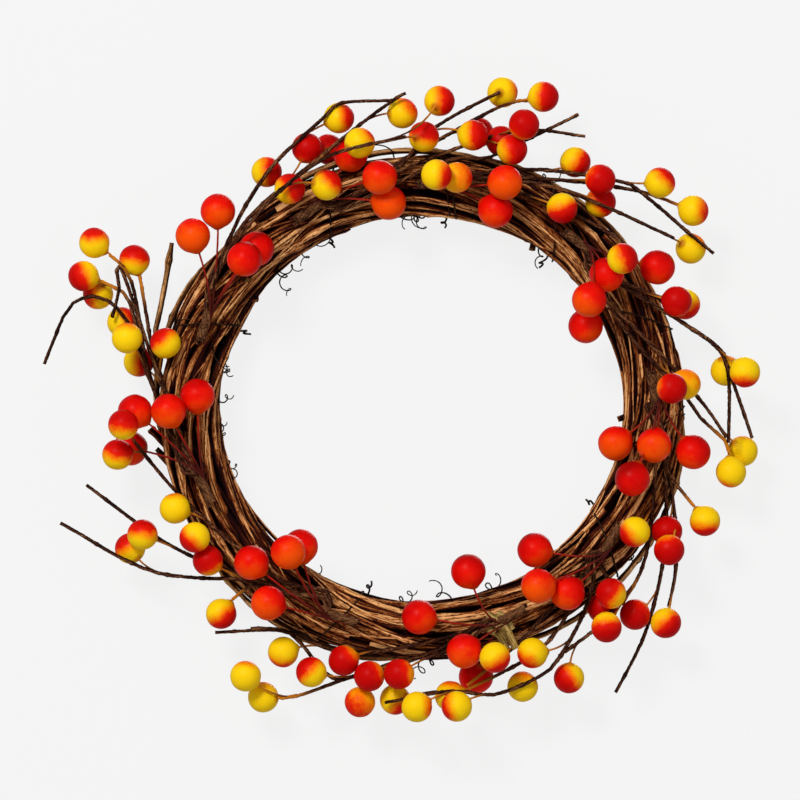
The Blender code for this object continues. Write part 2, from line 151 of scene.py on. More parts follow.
class Bench:
    """Adds nodes to one tree, of shaders or of geometry."""

    def __init__(self, tree):
        self.tree = tree

    def find(self, sockets, name):
        if isinstance(name, int):
            return sockets[name]
        same = [socket for socket in sockets if socket.identifier == name]
        named = [socket for socket in sockets if socket.name == name and socket.enabled]
        return (same + named)[0]

    def wire(self, node, sockets):
        for name, value in sockets.items():
            socket = self.find(node.inputs, name)
            if isinstance(value, Strand):
                self.tree.links.new(value.socket, socket)
            else:
                socket.default_value = value

    def node(self, kind, settings=None, sockets=None, output=0):
        """A node's settings are made first, then its values and links. Gives one output."""
        made = self.tree.nodes.new(kind)
        for name, value in (settings or {}).items():
            if name != "stops":
                setattr(made, name, value)
                continue
            while len(made.color_ramp.elements) < len(value):
                made.color_ramp.elements.new(1)
            for stop, (position, colour) in zip(made.color_ramp.elements, value):
                stop.position = position
                stop.color = (*colour, 1)
        self.wire(made, sockets or {})
        return Strand(self, self.find(made.outputs, output))

    def vector(self, operation, first, second=(0.0, 0.0, 0.0), output=0):
        sockets = {0: first, 1: second}
        return self.node("ShaderNodeVectorMath", {"operation": operation}, sockets, output)

    def scaled(self, vector, factor):
        sockets = {0: vector, "Scale": factor}
        return self.node("ShaderNodeVectorMath", {"operation": "SCALE"}, sockets)

    def noise(self, vector, scale, detail=2.0, rough=0.5, output="Fac"):
        sockets = {"Vector": vector, "Scale": scale, "Detail": detail, "Roughness": rough}
        return self.node("ShaderNodeTexNoise", {}, sockets, output)

    def mixed(self, share, first, second):
        sockets = {"Factor_Float": share, "A_Color": first, "B_Color": second}
        return self.node("ShaderNodeMix", {"data_type": "RGBA"}, sockets, "Result_Color")

    def ramp(self, share, stops):
        return self.node("ShaderNodeValToRGB", {"stops": stops}, {"Fac": share})

    def stored(self, name, kind="Fac"):
        """In a shader, an attribute that the mesh carries."""
        return self.node("ShaderNodeAttribute", {"attribute_name": name}, {}, kind)


class Growth(Bench):
    """A geometry tree with named inputs, ready to be set on a modifier."""

    def __init__(self, name, inputs):
        super().__init__(bpy.data.node_groups.new(name, "GeometryNodeTree"))
        face = self.tree.interface
        face.new_socket("Geometry", in_out="INPUT", socket_type="NodeSocketGeometry")
        face.new_socket("Geometry", in_out="OUTPUT", socket_type="NodeSocketGeometry")
        self.keys = {}
        for label, kind in inputs.items():
            made = face.new_socket(label, in_out="INPUT", socket_type="NodeSocket" + kind)
            self.keys[label] = made.identifier
        self.source = self.tree.nodes.new("NodeGroupInput")

    def given(self, label):
        return Strand(self, self.find(self.source.outputs, label))

    def carried(self, name, kind="FLOAT_VECTOR"):
        """An attribute that the geometry carries."""
        settings = {"data_type": kind}
        return self.node("GeometryNodeInputNamedAttribute", settings, {"Name": name})

    def store(self, geometry, name, value, kind="FLOAT_VECTOR"):
        settings = {"data_type": kind, "domain": "POINT"}
        sockets = {"Geometry": geometry, "Name": name, "Value": value}
        return self.node("GeometryNodeStoreNamedAttribute", settings, sockets)

    def close(self, geometry, finish):
        """Ends the tree: instances made real, shaded smooth, and given their material."""
        real = self.node("GeometryNodeRealizeInstances", {}, {0: geometry})
        smooth = self.node("GeometryNodeSetShadeSmooth", {}, {"Geometry": real})
        done = self.node(
            "GeometryNodeSetMaterial", {}, {"Geometry": smooth, "Material": finish}
        )
        end = self.tree.nodes.new("NodeGroupOutput")
        self.tree.links.new(done.socket, end.inputs[0])


def grow(name, seeds, growth, values):
    """A plain mesh object, made by running a growth over a seed mesh."""
    planted = bpy.data.objects.new("seed", seeds)
    bpy.context.collection.objects.link(planted)
    modifier = planted.modifiers.new("growth", "NODES")
    modifier.node_group = growth.tree
    for label, value in values.items():
        modifier[growth.keys[label]] = value
    graph = bpy.context.evaluated_depsgraph_get()
    mesh = bpy.data.meshes.new_from_object(planted.evaluated_get(graph))
    bpy.data.objects.remove(planted)
    mesh.name = name
    made = bpy.data.objects.new(name, mesh)
    bpy.context.collection.objects.link(made)
    return made


def threads(routes, **carried):
    """A seed mesh of open lines. Each carried value is given once for each line."""
    carried.setdefault("girth", [1.0] * len(routes))
    mesh = bpy.data.meshes.new("threads")
    points = [tuple(point) for route in routes for point in route]
    edges = []
    start = 0
    for route in routes:
        edges += [(start + step, start + step + 1) for step in range(len(route) - 1)]
        start += len(route)
    mesh.from_pydata(points, edges, [])
    for name, values in carried.items():
        spread = [value for value, route in zip(values, routes) for _ in route]
        mesh.attributes.new(name, "FLOAT", "POINT").data.foreach_set("value", spread)
    return mesh


# Start and slope of the painted light on a point, by its share of the bundle's radius, by how
# far it faces outwards, and for what stands past the bundle: painted shade deep between the
# canes and on their sides, a painted highlight where they face outwards.
PAINTED_LIGHT_BY_REACH = (0.76, 3.6)
PAINTED_LIGHT_BY_FACING = (0.15, 1.25)
PAINTED_LIGHT_PAST = (1.05, 3)


def painted_light_share(made):
    """Painted light on a point: 0 is painted shade deep between the canes and on their sides, 1 is a
    painted highlight on the outside.
    """
    place = made.vector("SUBTRACT", made.node("GeometryNodeInputPosition"), ring_centre)
    flat = made.vector("MULTIPLY", place, (1 / ring_half_width, 0, 1 / ring_half_height))
    share = made.vector("LENGTH", flat, output="Value")
    middle = made.vector("MULTIPLY", made.scaled(place, 1 / share), (1, 0, 1))
    beside = made.vector("SUBTRACT", place, middle)
    reach = made.vector("LENGTH", beside, output="Value") / bundle_radius
    normal = made.node("GeometryNodeInputNormal")
    facing = made.vector("DOT_PRODUCT", made.vector("NORMALIZE", beside), normal, "Value")
    past = reach.rising(*PAINTED_LIGHT_PAST)
    start, slope = PAINTED_LIGHT_BY_FACING
    # Painted shade deep in the bundle and on the sides of each stalk, painted highlight where it faces
    # outwards.
    return reach.rising(*PAINTED_LIGHT_BY_REACH) * ((facing - start) * slope + past).held()


# Waves to a metre of a stalk's sway, of its unevenness, and of the drift of its joints.
SWAY_SCALE = 14.0
UNEVEN_SCALE = 42.0
JOINT_SCALE = 5.0
# How far the sway and the drift go, and how narrow a joint is.
SWAY_REACH = 2.6
JOINT_DRIFT = 2.2
JOINT_SHARPNESS = 7.0
# How narrow the bark's ridges are, and the height at which a stalk keeps its thickness.
RIDGE_SHARPNESS = 5.0
RIDGE_MIDDLE = 0.6
# How far apart stalks of different seeds lie in the sway and in the grain.
SEED_STRIDE = 3.7
GRAIN_STRIDE = 0.31


def stalk_growth():
    """Grows woody or wrapped stalks along lines.

    They wander, swell at their joints, thin towards one end and carry ridges along the
    grain. The grain is where a point would lie if its stalk were straight.
    """
    made = Growth(
        "stalks",
        {
            "Thickness": "Float",
            "Sides": "Int",
            "Step": "Float",
            "Wander": "Float",
            "Uneven": "Float",
            "Joint": "Float",
            "Joint Gap": "Float",
            "Tip": "Float",
            "Ridge": "Float",
            "Ridge Width": "Float",
            "Ridge Length": "Float",
            "Twist": "Float",
            "Finish": "Material",
        },
    )
    given = made.given
    lines = made.node("GeometryNodeMeshToCurve", {}, {"Mesh": given("Geometry")})
    lines = made.node(
        "GeometryNodeResampleCurve", {"mode": "LENGTH"}, {"Curve": lines, "Length": given("Step")}
    )
    seed = made.carried("seed", "FLOAT")
    along = made.node("GeometryNodeSplineParameter", {}, {}, "Length")
    share = made.node("GeometryNodeSplineParameter", {}, {}, "Factor")
    lines = made.store(lines, "along", along, "FLOAT")
    lines = made.store(lines, "share", share, "FLOAT")
    at = made.node("ShaderNodeCombineXYZ", {}, {"X": seed * SEED_STRIDE, "Y": along, "Z": seed})
    sway = made.noise(at, SWAY_SCALE, 1.5, 0.4, "Color")
    sway = made.vector("SUBTRACT", sway, (0.5, 0.5, 0.5))
    bent = made.scaled(sway, given("Wander") * SWAY_REACH)
    lines = made.node("GeometryNodeSetPosition", {}, {"Geometry": lines, "Offset": bent})
    uneven = 1 + (made.noise(at, UNEVEN_SCALE, 2.0) - 0.5) * 2 * given("Uneven")
    drift = made.noise(at, JOINT_SCALE, 0.0) * JOINT_DRIFT
    beat = (drift + along / given("Joint Gap")) * math.pi
    joint = 1 + (1 - beat.wave().size()) ** JOINT_SHARPNESS * given("Joint")
    taper = 1 - (1 - given("Tip")) * share
    girth = made.carried("girth", "FLOAT")
    profile = made.node(
        "GeometryNodeCurvePrimitiveCircle", {}, {"Resolution": given("Sides"), "Radius": 1.0}
    )
    place = made.node("GeometryNodeInputPosition")
    profile = made.store(profile, "section", place)
    stalk = made.node(
        "GeometryNodeCurveToMesh",
        {},
        {
            "Curve": lines,
            "Profile Curve": profile,
            "Scale": given("Thickness") / 2 * uneven * joint * taper * girth,
            "Fill Caps": True,
        },
    )
    girth = made.carried("girth", "FLOAT")
    section = made.scaled(made.carried("section"), given("Thickness") / 2 * girth)
    run = made.carried("along", "FLOAT")
    turned = made.node(
        "ShaderNodeVectorRotate",
        {"rotation_type": "Z_AXIS"},
        {"Vector": section, "Angle": run * given("Twist")},
    )
    depth = made.node("ShaderNodeCombineXYZ", {}, {"Z": run})
    shift = made.carried("seed", "FLOAT") * GRAIN_STRIDE
    offset = made.node("ShaderNodeCombineXYZ", {}, {"X": shift})
    grain = made.vector("ADD", made.vector("ADD", turned, depth), offset)
    width = 1 / given("Ridge Width")
    stretch = made.node(
        "ShaderNodeCombineXYZ", {}, {"X": width, "Y": width, "Z": 1 / given("Ridge Length")}
    )
    strands = made.noise(made.vector("MULTIPLY", grain, stretch), 1.0, 2.0, 0.55)
    ridge = (1 - (strands - 0.5).size() * RIDGE_SHARPNESS).held()
    normal = made.node("GeometryNodeInputNormal")
    lift = made.scaled(normal, (ridge - RIDGE_MIDDLE) * given("Ridge"))
    stalk = made.store(stalk, "grain", grain)
    stalk = made.store(stalk, "ridge", ridge, "FLOAT")
    # The painted light, carried to the finishes: painted shade between the stalks, painted highlight on
    # their outsides.
    stalk = made.store(stalk, "open", painted_light_share(made), "FLOAT")
    stalk = made.node("GeometryNodeSetPosition", {}, {"Geometry": stalk, "Offset": lift})
    made.close(stalk, given("Finish"))
    return made


def new_finish(name):
    """A Principled material with its bench and its shader node."""
    made = bpy.data.materials.new(name)
    made.use_nodes = True
    return made, Bench(made.node_tree), made.node_tree.nodes["Principled BSDF"]


def bumped(bench, shader, height, strength, distance):
    """Fine relief that is too small for the mesh."""
    sockets = {"Height": height, "Strength": strength, "Distance": distance}
    bench.wire(shader, {"Normal": bench.node("ShaderNodeBump", {}, sockets)})


# Waves to a metre across and along the grain, and how much each adds to the bark's tone.
# What is seen only in places has a start and a slope.
FIBRE_WAVES = (1500, 1500, 60)
FIBRE_WEIGHT = 0.85
STREAK_WAVES = (420, 420, 14)
STREAK_WEIGHT = 0.65
PATCH_WAVES = (60, 60, 22)
PATCH_WEIGHT = 0.80
RIDGE_WEIGHT = 0.30
PIT_WAVES = (1200, 1200, 450)
PIT_WEIGHT = 0.30
PIT_START = (0.54, 7)
SPLIT_START = (0.38, 9)
SPLIT_WEIGHT = 0.45
# The bark's tone under painted shade deep in the bundle, and the painted light added to it on the
# outside.
PAINTED_SHADE_LEVEL = 0.12
PAINTED_LIGHT_GAIN = 1.05
# Where a stalk's painted end starts, how thickly it is painted, and its colour.
PAINT_START = (0.84, 8)
PAINT_COVER = 0.5
PAINT_SPECKLE = 0.7
SPRAYED_TIP = (0.74, 0.24, 0.012, 1)
BARK_SHEEN = 0.06
BARK_BUMP = 0.9 * MM


def bark_finish(name, stops, tone, rough):
    """Stringy bark: dark in its splits, tan on its ridges, with patches peeled paler, with painted
    shade between the stalks and a painted highlight where they face outwards.

    Where a stalk is marked as painted, its far end has caught the paint of its berry.
    """
    made, bench, shader = new_finish(name)
    grain = bench.stored("grain", "Vector")
    fine = bench.noise(bench.vector("MULTIPLY", grain, FIBRE_WAVES), 1.0, 4.0, 0.65)
    streak = bench.noise(bench.vector("MULTIPLY", grain, STREAK_WAVES), 1.0, 3.0, 0.6)
    patch = bench.noise(bench.vector("MULTIPLY", grain, PATCH_WAVES), 1.0, 2.0)
    pits = bench.noise(bench.vector("MULTIPLY", grain, PIT_WAVES), 1.0, 2.0)
    level = bench.stored("ridge") * RIDGE_WEIGHT + fine * FIBRE_WEIGHT
    level = level + streak * STREAK_WEIGHT + patch * PATCH_WEIGHT - tone
    level = level - pits.rising(*PIT_START) * PIT_WEIGHT
    splits = 1 - SPLIT_WEIGHT + fine.rising(*SPLIT_START) * SPLIT_WEIGHT
    # Painted shade deep between the stalks and on their sides, painted highlight where they face
    # outwards.
    level = level * (PAINTED_SHADE_LEVEL + bench.stored("open") * PAINTED_LIGHT_GAIN) * splits
    level = level + bench.stored("tone")
    painted = bench.stored("painted") * bench.stored("share").rising(*PAINT_START)
    painted = painted * (PAINT_COVER + fine * PAINT_SPECKLE)
    colour = bench.mixed(painted, bench.ramp(level, stops), SPRAYED_TIP)
    bench.wire(shader, {"Base Color": colour, "Roughness": rough + fine * 0.25})
    bench.wire(shader, {"Specular IOR Level": BARK_SHEEN})
    bumped(bench, shader, fine * 0.8 + streak, 1.0, BARK_BUMP)
    return made


BARK_STOPS = (
    (0.12, (0.007, 0.001, 0.001)),
    (0.30, (0.038, 0.003, 0.001)),
    (0.47, (0.150, 0.028, 0.005)),
    (0.66, (0.460, 0.155, 0.036)),
    (0.88, (0.980, 0.510, 0.200)),
)
stalks = stalk_growth()
bark = bark_finish("vine bark", BARK_STOPS, 0.70, 0.55)


def finish_piece(piece, slot, *nodes):
    """Every piece hangs still on the one body, and stands for its solids."""
    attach(piece, "root")
    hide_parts(*nodes)
    return piece


# The bundle's layers from its core outwards: first cane, how many, share of the radius.
LAYERS = ((1, 1, 0), (2, 6, 0.42), (8, 12, 0.79))
CANE_THICKNESS = 5.0 * MM
CANE_WANDER = 2.8 * MM
CANE_LIFT = 1.3 * MM
CANE_TWIST = 1
CANE_SWAY = 0.22
CANE_STEPS = 72
CANE_STEP = 1.7 * MM
CANE_SIDES = 14
HIDDEN_SIDES = 8
# Least and most of each cane's share of the thickness, its tone, and the twist of its grain.
CANE_GIRTHS = (0.82, 1.12)
CANE_TONES = (-0.27, 0.23)
GRAIN_TWISTS = (-25, 25)
# The share of the ring by which each cane starts past the one before.
CANE_START = 0.29
# The other laps that run with each outer cane: share of its girth, place, reach, sway, waves.
SPLIT_LAPS = (
    (0.80, 0.04, 0.95, 0.22, 3),
    (0.95, 0.09, 0.88, 0.18, 2),
    (0.46, 0.06, 0.97, 0.30, 4),
    (0.32, 0.02, 0.99, 0.80, 3),
)


def cane_lap(number, place, reach, draw, sway, waves):
    """One lap keeps its place in the twisting bundle, but snakes over its neighbours."""
    lean = draw.uniform(0, math.tau)
    route = []
    for step in range(CANE_STEPS):
        bearing = math.tau * (step / CANE_STEPS + number * CANE_START)
        angle = math.tau * place + CANE_TWIST * bearing
        angle += sway * math.sin(waves * bearing + lean)
        angle += sway * math.sin(5 * bearing + 3 * lean) / 3
        lift = reach + CANE_LIFT * math.sin(3 * bearing + 2 * lean)
        route.append(ring_point(bearing) + beside_bundle(bearing, angle) * lift)
    return route


for first, count, depth in LAYERS:
    outer = first == LAYERS[-1][0]
    for number in range(first, first + count):
        draw = random.Random(number)
        place = (number - first) / count
        laps = [cane_lap(number, place, bundle_radius * depth, draw, CANE_SWAY, 2)]
        girths = [1.0]
        for girth, shift, share, sway, waves in SPLIT_LAPS if outer else ():
            start = number + draw.uniform(2, 9)
            reach = bundle_radius * share
            laps.append(cane_lap(start, place + shift, reach, draw, sway, waves))
            girths.append(girth)
        node = cane_nodes[number - 1]
        cane = grow(
            node.replace("vine_", ""),
            threads(
                laps,
                seed=[number * 1.7 + index * 31 for index in range(len(laps))],
                girth=girths,
                tone=[draw.uniform(*CANE_TONES) for _ in laps],
            ),
            stalks,
            {
                "Thickness": CANE_THICKNESS * draw.uniform(*CANE_GIRTHS),
                "Sides": CANE_SIDES if outer else HIDDEN_SIDES,
                "Step": CANE_STEP if outer else 2 * CANE_STEP,
                "Wander": CANE_WANDER,
                "Uneven": 0.24,
                "Joint": 0.4,
                "Joint Gap": 75 * MM,
                "Tip": 0.85,
                "Ridge": 0.35 * MM,
                "Ridge Width": 1.8 * MM,
                "Ridge Length": 30 * MM,
                "Twist": draw.uniform(*GRAIN_TWISTS),
                "Finish": bark,
            },
        )
        finish_piece(cane, "bark", node)

# ---------------------------------------------------------------------------------------
# Loose canes. A few thinner, drier laps lie outside the bundle with their ends tucked under
# its outer canes, and one cut stick stands off the ring at the left. Their bark is paler.
# ---------------------------------------------------------------------------------------
LOOSE_THICKNESS = 4.2 * MM
LOOSE_REACH = bundle_radius + 4.4 * MM
LOOSE_END_SINK = 5 * MM
# Start bearing, end bearing, place round the bundle.
LOOSE_CANES = ((318, 384, 12), (6, 62, -16), (92, 158, 4), (186, 238, 14), (262, 306, -8))
# The stick's points across and up from the ring's centre, in millimetres.
STICK = ((-147, 97), (-151, 72), (-153, 61), (-156, 46), (-155, 22), (-147, 2))
STICK_LIFT = 6
STICK_THICKNESS = 3.9 * MM
STICK_TONE = -0.14
DRY_STOPS = (
    (0.05, (0.016, 0.004, 0.002)),
    (0.30, (0.100, 0.034, 0.010)),
    (0.54, (0.360, 0.165, 0.050)),
    (0.84, (0.780, 0.440, 0.180)),
)
dry_bark = bark_finish("dry bark", DRY_STOPS, 0.76, 0.65)


def bark_stalk(name, route, thickness, finish, draw, tone=0.0):
    """One stick or cane in its bark, thinner at its far end."""
    return grow(
        name,
        threads([route], seed=[draw.uniform(0, 40)], tone=[tone]),
        stalks,
        {
            "Thickness": thickness,
            "Sides": 14,
            "Step": 1.4 * MM,
            "Wander": 1.2 * MM,
            "Uneven": 0.22,
            "Joint": 0.5,
            "Joint Gap": 48 * MM,
            "Tip": 0.7,
            "Ridge": 0.6 * MM,
            "Ridge Width": 1.7 * MM,
            "Ridge Length": 22 * MM,
            "Twist": draw.uniform(*GRAIN_TWISTS),
            "Finish": finish,
        },
    )


for number, (start, end, place) in enumerate(LOOSE_CANES, 1):
    draw = random.Random(100 + number)
    route = []
    for bearing in range(start, end + 1, 4):
        share = (bearing - start) / (end - start)
        sink = LOOSE_END_SINK * (2 * share - 1) ** 4
        route.append(on_bundle(bearing, place, LOOSE_REACH - sink))
    cane = bark_stalk(f"loose_cane_{number}_bark", route, LOOSE_THICKNESS, dry_bark, draw)
    finish_piece(cane, "loose_bark", f"loose_cane_{number}")
route = [ring_centre + Vector((x, -STICK_LIFT, z)) * MM for x, z in reversed(STICK)]
draw = random.Random(7)
stick = bark_stalk("cut_stick", route, STICK_THICKNESS, dry_bark, draw, STICK_TONE)
finish_piece(stick, "loose_bark")

# ---------------------------------------------------------------------------------------
# Ties. Thin wire in a dark paper cover is wound round the bundle to hold its laps and the
# picks, and its end is left twisted. The turns lie on the bark's ridges.
# ---------------------------------------------------------------------------------------
TIE_THICKNESS = 1.2 * MM
TIE_REACH = bundle_radius + 2.0 * MM
TIE_UNEVEN = 0.4 * MM
TIE_STEPS = 60
# Where round the bundle a tie starts, and how far along the ring each of its turns moves on.
TIE_START = 200
TIE_PITCH = 1.6
# A tie's twisted end, then the curls of ties and tendrils: steps to a turn, how much they
# tighten, and how far each loop leans ahead and aside.
TIE_END_LENGTH = 7 * MM
TIE_END_TURNS = 1.4
TIE_END_RADIUS = 2.4 * MM
CURL_STEPS = 20
CURL_TIGHTENING = 0.55
CURL_FORWARD = 0.85
CURL_LIFT = 0.5
# Bearing, slant across the bundle in degrees, and turns.
TIES = (
    (5, 2, 2.3),
    (35, 5, 1.4),
    (65, -7, 1.3),
    (95, 6, 1.5),
    (125, -5, 1.3),
    (200, -4, 1.4),
    (290, 3, 1.6),
    (335, -4, 1.2),
)
WIRE_STOPS = (
    (0.2, (0.006, 0.003, 0.002)),
    (0.6, (0.030, 0.012, 0.006)),
    (0.9, (0.12, 0.05, 0.02)),
)
dark_wrap = bark_finish("dark paper wrap", WIRE_STOPS, 0.84, 0.5)
WIRE_VALUES = {
    "Sides": 8,
    "Step": 0.6 * MM,
    "Wander": 1.1 * MM,
    "Uneven": 0.15,
    "Joint": 0.0,
    "Joint Gap": 40 * MM,
    "Tip": 0.8,
    "Ridge": 0.15 * MM,
    "Ridge Width": 0.6 * MM,
    "Ridge Length": 4 * MM,
    "Twist": 500.0,
}


def curl(start, heading, drop, reach, turns, radius):
    """A springy end: loops that run from a start along its heading and tighten."""
    heading = heading.normalized()
    aside = heading.cross(drop).normalized()
    lift = aside.cross(heading)
    points = []
    steps = round(CURL_STEPS * turns)
    for step in range(steps + 1):
        share = step / steps
        angle = math.tau * turns * share
        width = radius * (1 - CURL_TIGHTENING * share) * min(1, 3 * share)
        across = aside * math.sin(angle) * width
        bow = heading * CURL_FORWARD + lift * CURL_LIFT
        across += bow * (1 - math.cos(angle)) * width
        points.append(start + heading * reach * share + across)
    return points


for number, (bearing, slant, turns) in enumerate(TIES, 1):
    draw = random.Random(200 + number)
    route = []
    for step in range(TIE_STEPS + 1):
        turned = turns * step / TIE_STEPS
        angle = TIE_START + 360 * turned
        lean = slant * math.sin(math.radians(angle - 90)) + TIE_PITCH * turned
        reach = TIE_REACH + draw.uniform(-TIE_UNEVEN, TIE_UNEVEN)
        route.append(on_bundle(bearing + lean, angle, reach))
    outward = on_bundle(bearing, TIE_START, 0) - on_bundle(bearing, TIE_START, -MM)
    up = Vector((0, 0, 1))
    loose_end = curl(route[0], outward, up, TIE_END_LENGTH, TIE_END_TURNS, TIE_END_RADIUS)
    values = {**WIRE_VALUES, "Thickness": TIE_THICKNESS, "Finish": dark_wrap}
    tie = grow(
        f"tie_{number}",
        threads([loose_end[::-1] + route[1:]], seed=[number * 2.3]),
        stalks,
        values,
    )
    finish_piece(tie, "tie_wire", f"tie_wire_{number}")

# ---------------------------------------------------------------------------------------
# Tendrils. Grapevine keeps the thin curled tendrils by which it climbed. Dry, they are
# nearly black, and they spring out of the bundle, mostly on its inner edge.
# ---------------------------------------------------------------------------------------
TENDRIL_THICKNESS = 1.15 * MM
# How deep in the bundle a tendril's curl starts, how far behind that its foot is, and how
# much of its length stays hidden, in millimetres.
TENDRIL_DEPTH = 4
TENDRIL_FOOT = 8
TENDRIL_SPARE = 3
TO_ROOM = Vector((0, -1, 0))
# Bearing, place round the bundle, length, turns, radius of the curl, lean.
TENDRILS = (
    (311, 168, 17, 2.4, 4, 50),
    (315, 190, 17, 2.2, 4, -20),
    (322, 172, 15, 1.6, 4, 60),
    (326, 186, 12, 1.3, 4, -40),
    (283, 168, 9, 2.6, 3, -30),
    (278, 188, 8, 2.2, 3, 50),
    (271, 174, 9, 2.5, 3, 20),
    (266, 190, 8, 2.2, 3, -50),
    (262, 168, 8, 2.4, 3, 40),
    (255, 182, 7, 2.0, 3, -30),
    (248, 176, 7, 1.8, 3, 40),
    (294, 150, 20, 0.55, 12, -60),
    (171, 168, 16, 1.6, 5, 30),
    (163, 188, 15, 1.9, 5, -50),
    (176, 10, 17, 2.8, 5, 50),
    (210, 178, 7, 1.5, 2, 30),
    (188, 182, 12, 2.4, 4, -40),
    (127, 4, 9, 2.0, 3, -30),
    (26, 20, 17, 1.8, 5, 40),
    (354, 20, 14, 0.6, 6, -40),
    (36, 172, 11, 1.6, 3, 20),
    (40, 186, 8, 1.2, 3, 80),
    (2, 172, 15, 1.8, 5, -50),
    (352, 184, 14, 1.4, 5, 50),
    (358, 178, 12, 2.0, 4, 20),
)


def leaning(bearing, place, lean):
    """The way off the bundle at a place on it, leaning along the ring."""
    out = on_bundle(bearing, place, 1.0) - on_bundle(bearing, place, 0)
    along = on_bundle(bearing + 1, 0, 0) - on_bundle(bearing, 0, 0)
    return out + along.normalized() * math.tan(math.radians(lean))


for number, (bearing, place, length, turns, radius, lean) in enumerate(TENDRILS, 1):
    start = on_bundle(bearing, place, bundle_radius - TENDRIL_DEPTH * MM)
    heading = leaning(bearing, place, lean)
    foot = start - heading.normalized() * TENDRIL_FOOT * MM
    reach = (length + TENDRIL_SPARE) * MM
    route = [foot] + curl(start, heading, TO_ROOM, reach, turns, radius * MM)
    values = {**WIRE_VALUES, "Thickness": TENDRIL_THICKNESS, "Finish": dark_wrap, "Tip": 0.5}
    tendril = grow(f"tendril_{number}", threads([route], seed=[number * 1.3]), stalks, values)
    finish_piece(tendril, "tie_wire")

# ---------------------------------------------------------------------------------------
# Stubs and knots. Side shoots were cut short or broke off, and left stubs and knots. They
# are part of the canes that they grow on, in the same bark, but darker.
# ---------------------------------------------------------------------------------------
STUB_TONE = -0.26
STUB_DEPTH = 5
STUB_STEPS = (0, 0.4, 0.7, 1)
# Bearing, place round the bundle, how far out it starts, length, thickness, lean.
STUBS = (
    (300, 120, 13, 14, 6, 60),
    (301, 165, 12, 9, 5, 25),
    (301, 176, 13, 7, 4, -45),
    (30, 175, 11, 12, 5, 60),
    (32, 168, 12, 9, 4, 20),
    (91, 178, 13, 9, 5, 20),
    (75, 0, 14, 14, 5, -80),
    (202, 20, 10, 16, 5, 60),
    (216, 20, 14, 9, 4, 50),
    (228, 10, 13, 12, 5, 60),
    (222, 4, 13, 12, 4, 70),
    (256, 2, 12, 26, 5, 62),
    (253, -12, 12, 22, 4, 60),
    (251, 14, 13, 24, 4, 66),
    (9, 40, 13, 24, 6, 68),
    (14, 32, 13, 20, 5, 70),
    (354, 30, 13, 22, 5, -68),
    (303, 168, 12, 9, 4, 50),
    (299, 158, 12, 9, 5, -40),
    (150, 60, 14, 12, 4, 70),
    (15, 70, 14, 14, 4, -75),
    (345, 95, 14, 14, 4, 75),
)
for number, (bearing, place, reach, length, thickness, lean) in enumerate(STUBS, 1):
    start = on_bundle(bearing, place, (reach - STUB_DEPTH) * MM)
    heading = leaning(bearing, place, lean).normalized()
    route = [start + heading * share * (length + STUB_DEPTH) * MM for share in STUB_STEPS]
    draw = random.Random(300 + number)
    finish = (bark, dry_bark)[number % 2]
    stub = bark_stalk(f"stub_{number}", route, thickness * MM, finish, draw, STUB_TONE)
    finish_piece(stub, "bark")

# ---------------------------------------------------------------------------------------
# Torn bark. At the bottom a lap was torn off, and strips of its peeled, olive-gold bark lie
# over the front of the bundle.
# ---------------------------------------------------------------------------------------
PEELED_STOPS = (
    (0.10, (0.020, 0.010, 0.002)),
    (0.34, (0.110, 0.060, 0.012)),
    (0.58, (0.300, 0.190, 0.045)),
    (0.84, (0.640, 0.450, 0.150)),
)
peeled_bark = bark_finish("peeled bark", PEELED_STOPS, 0.74, 0.6)
# How far the middle of a strip bows across and up, in millimetres.
STRIP_BOW = (1, 2)
# Each strip's ends across and up from the ring's centre, its lift and its thickness, in
# millimetres.
TORN_STRIPS = (
    ((38, -122), (51, -134), 21, 6.5),
    ((42, -124), (55, -141), 22, 5.5),
    ((39, -129), (50, -142), 20, 5.0),
    ((44, -121), (53, -130), 19, 4.5),
)
for number, (first, last, lift, thickness) in enumerate(TORN_STRIPS, 1):
    draw = random.Random(400 + number)
    middle = [(a + b) / 2 + bow for a, b, bow in zip(first, last, STRIP_BOW)]
    route = [ring_centre + Vector((x, -lift, z)) * MM for x, z in (first, middle, last)]
    strip = bark_stalk(f"torn_strip_{number}", route, thickness * MM, peeled_bark, draw)
    finish_piece(strip, "bark")

# ---------------------------------------------------------------------------------------
# Berry picks. Nine picks are laid along the front of the ring. Each is a fan of wires
# wrapped in brown paper as twigs, with foam berries on thinner wires, all gathered into one
# stem. The places here are in millimetres.
# ---------------------------------------------------------------------------------------
TWIG_DIAMETER = 2.4
STEM_LENGTH = 22.0
# What lifts the stems off the bundle: the ties, the gap left over them, and the tape.
TIE_STACK = 2.4
CLEARANCE = 0.4
TAPE_REACH = 4.7
STEM_LIFT = bundle_radius / MM + TIE_STACK + CLEARANCE + TAPE_REACH
# How far outwards the stem of twigs and the stem of red wires lie in their tape.
TWIG_STEM_OUT = 1.7
RED_STEM_OUT = -2.2
# The way in which a twig settles to its own lift, the gap between twigs where they part, and
# the steps in which their ways are read.
TWIG_SETTLE = 60.0
TWIG_PITCH = 1.6
ROUTE_STEP = 8.0


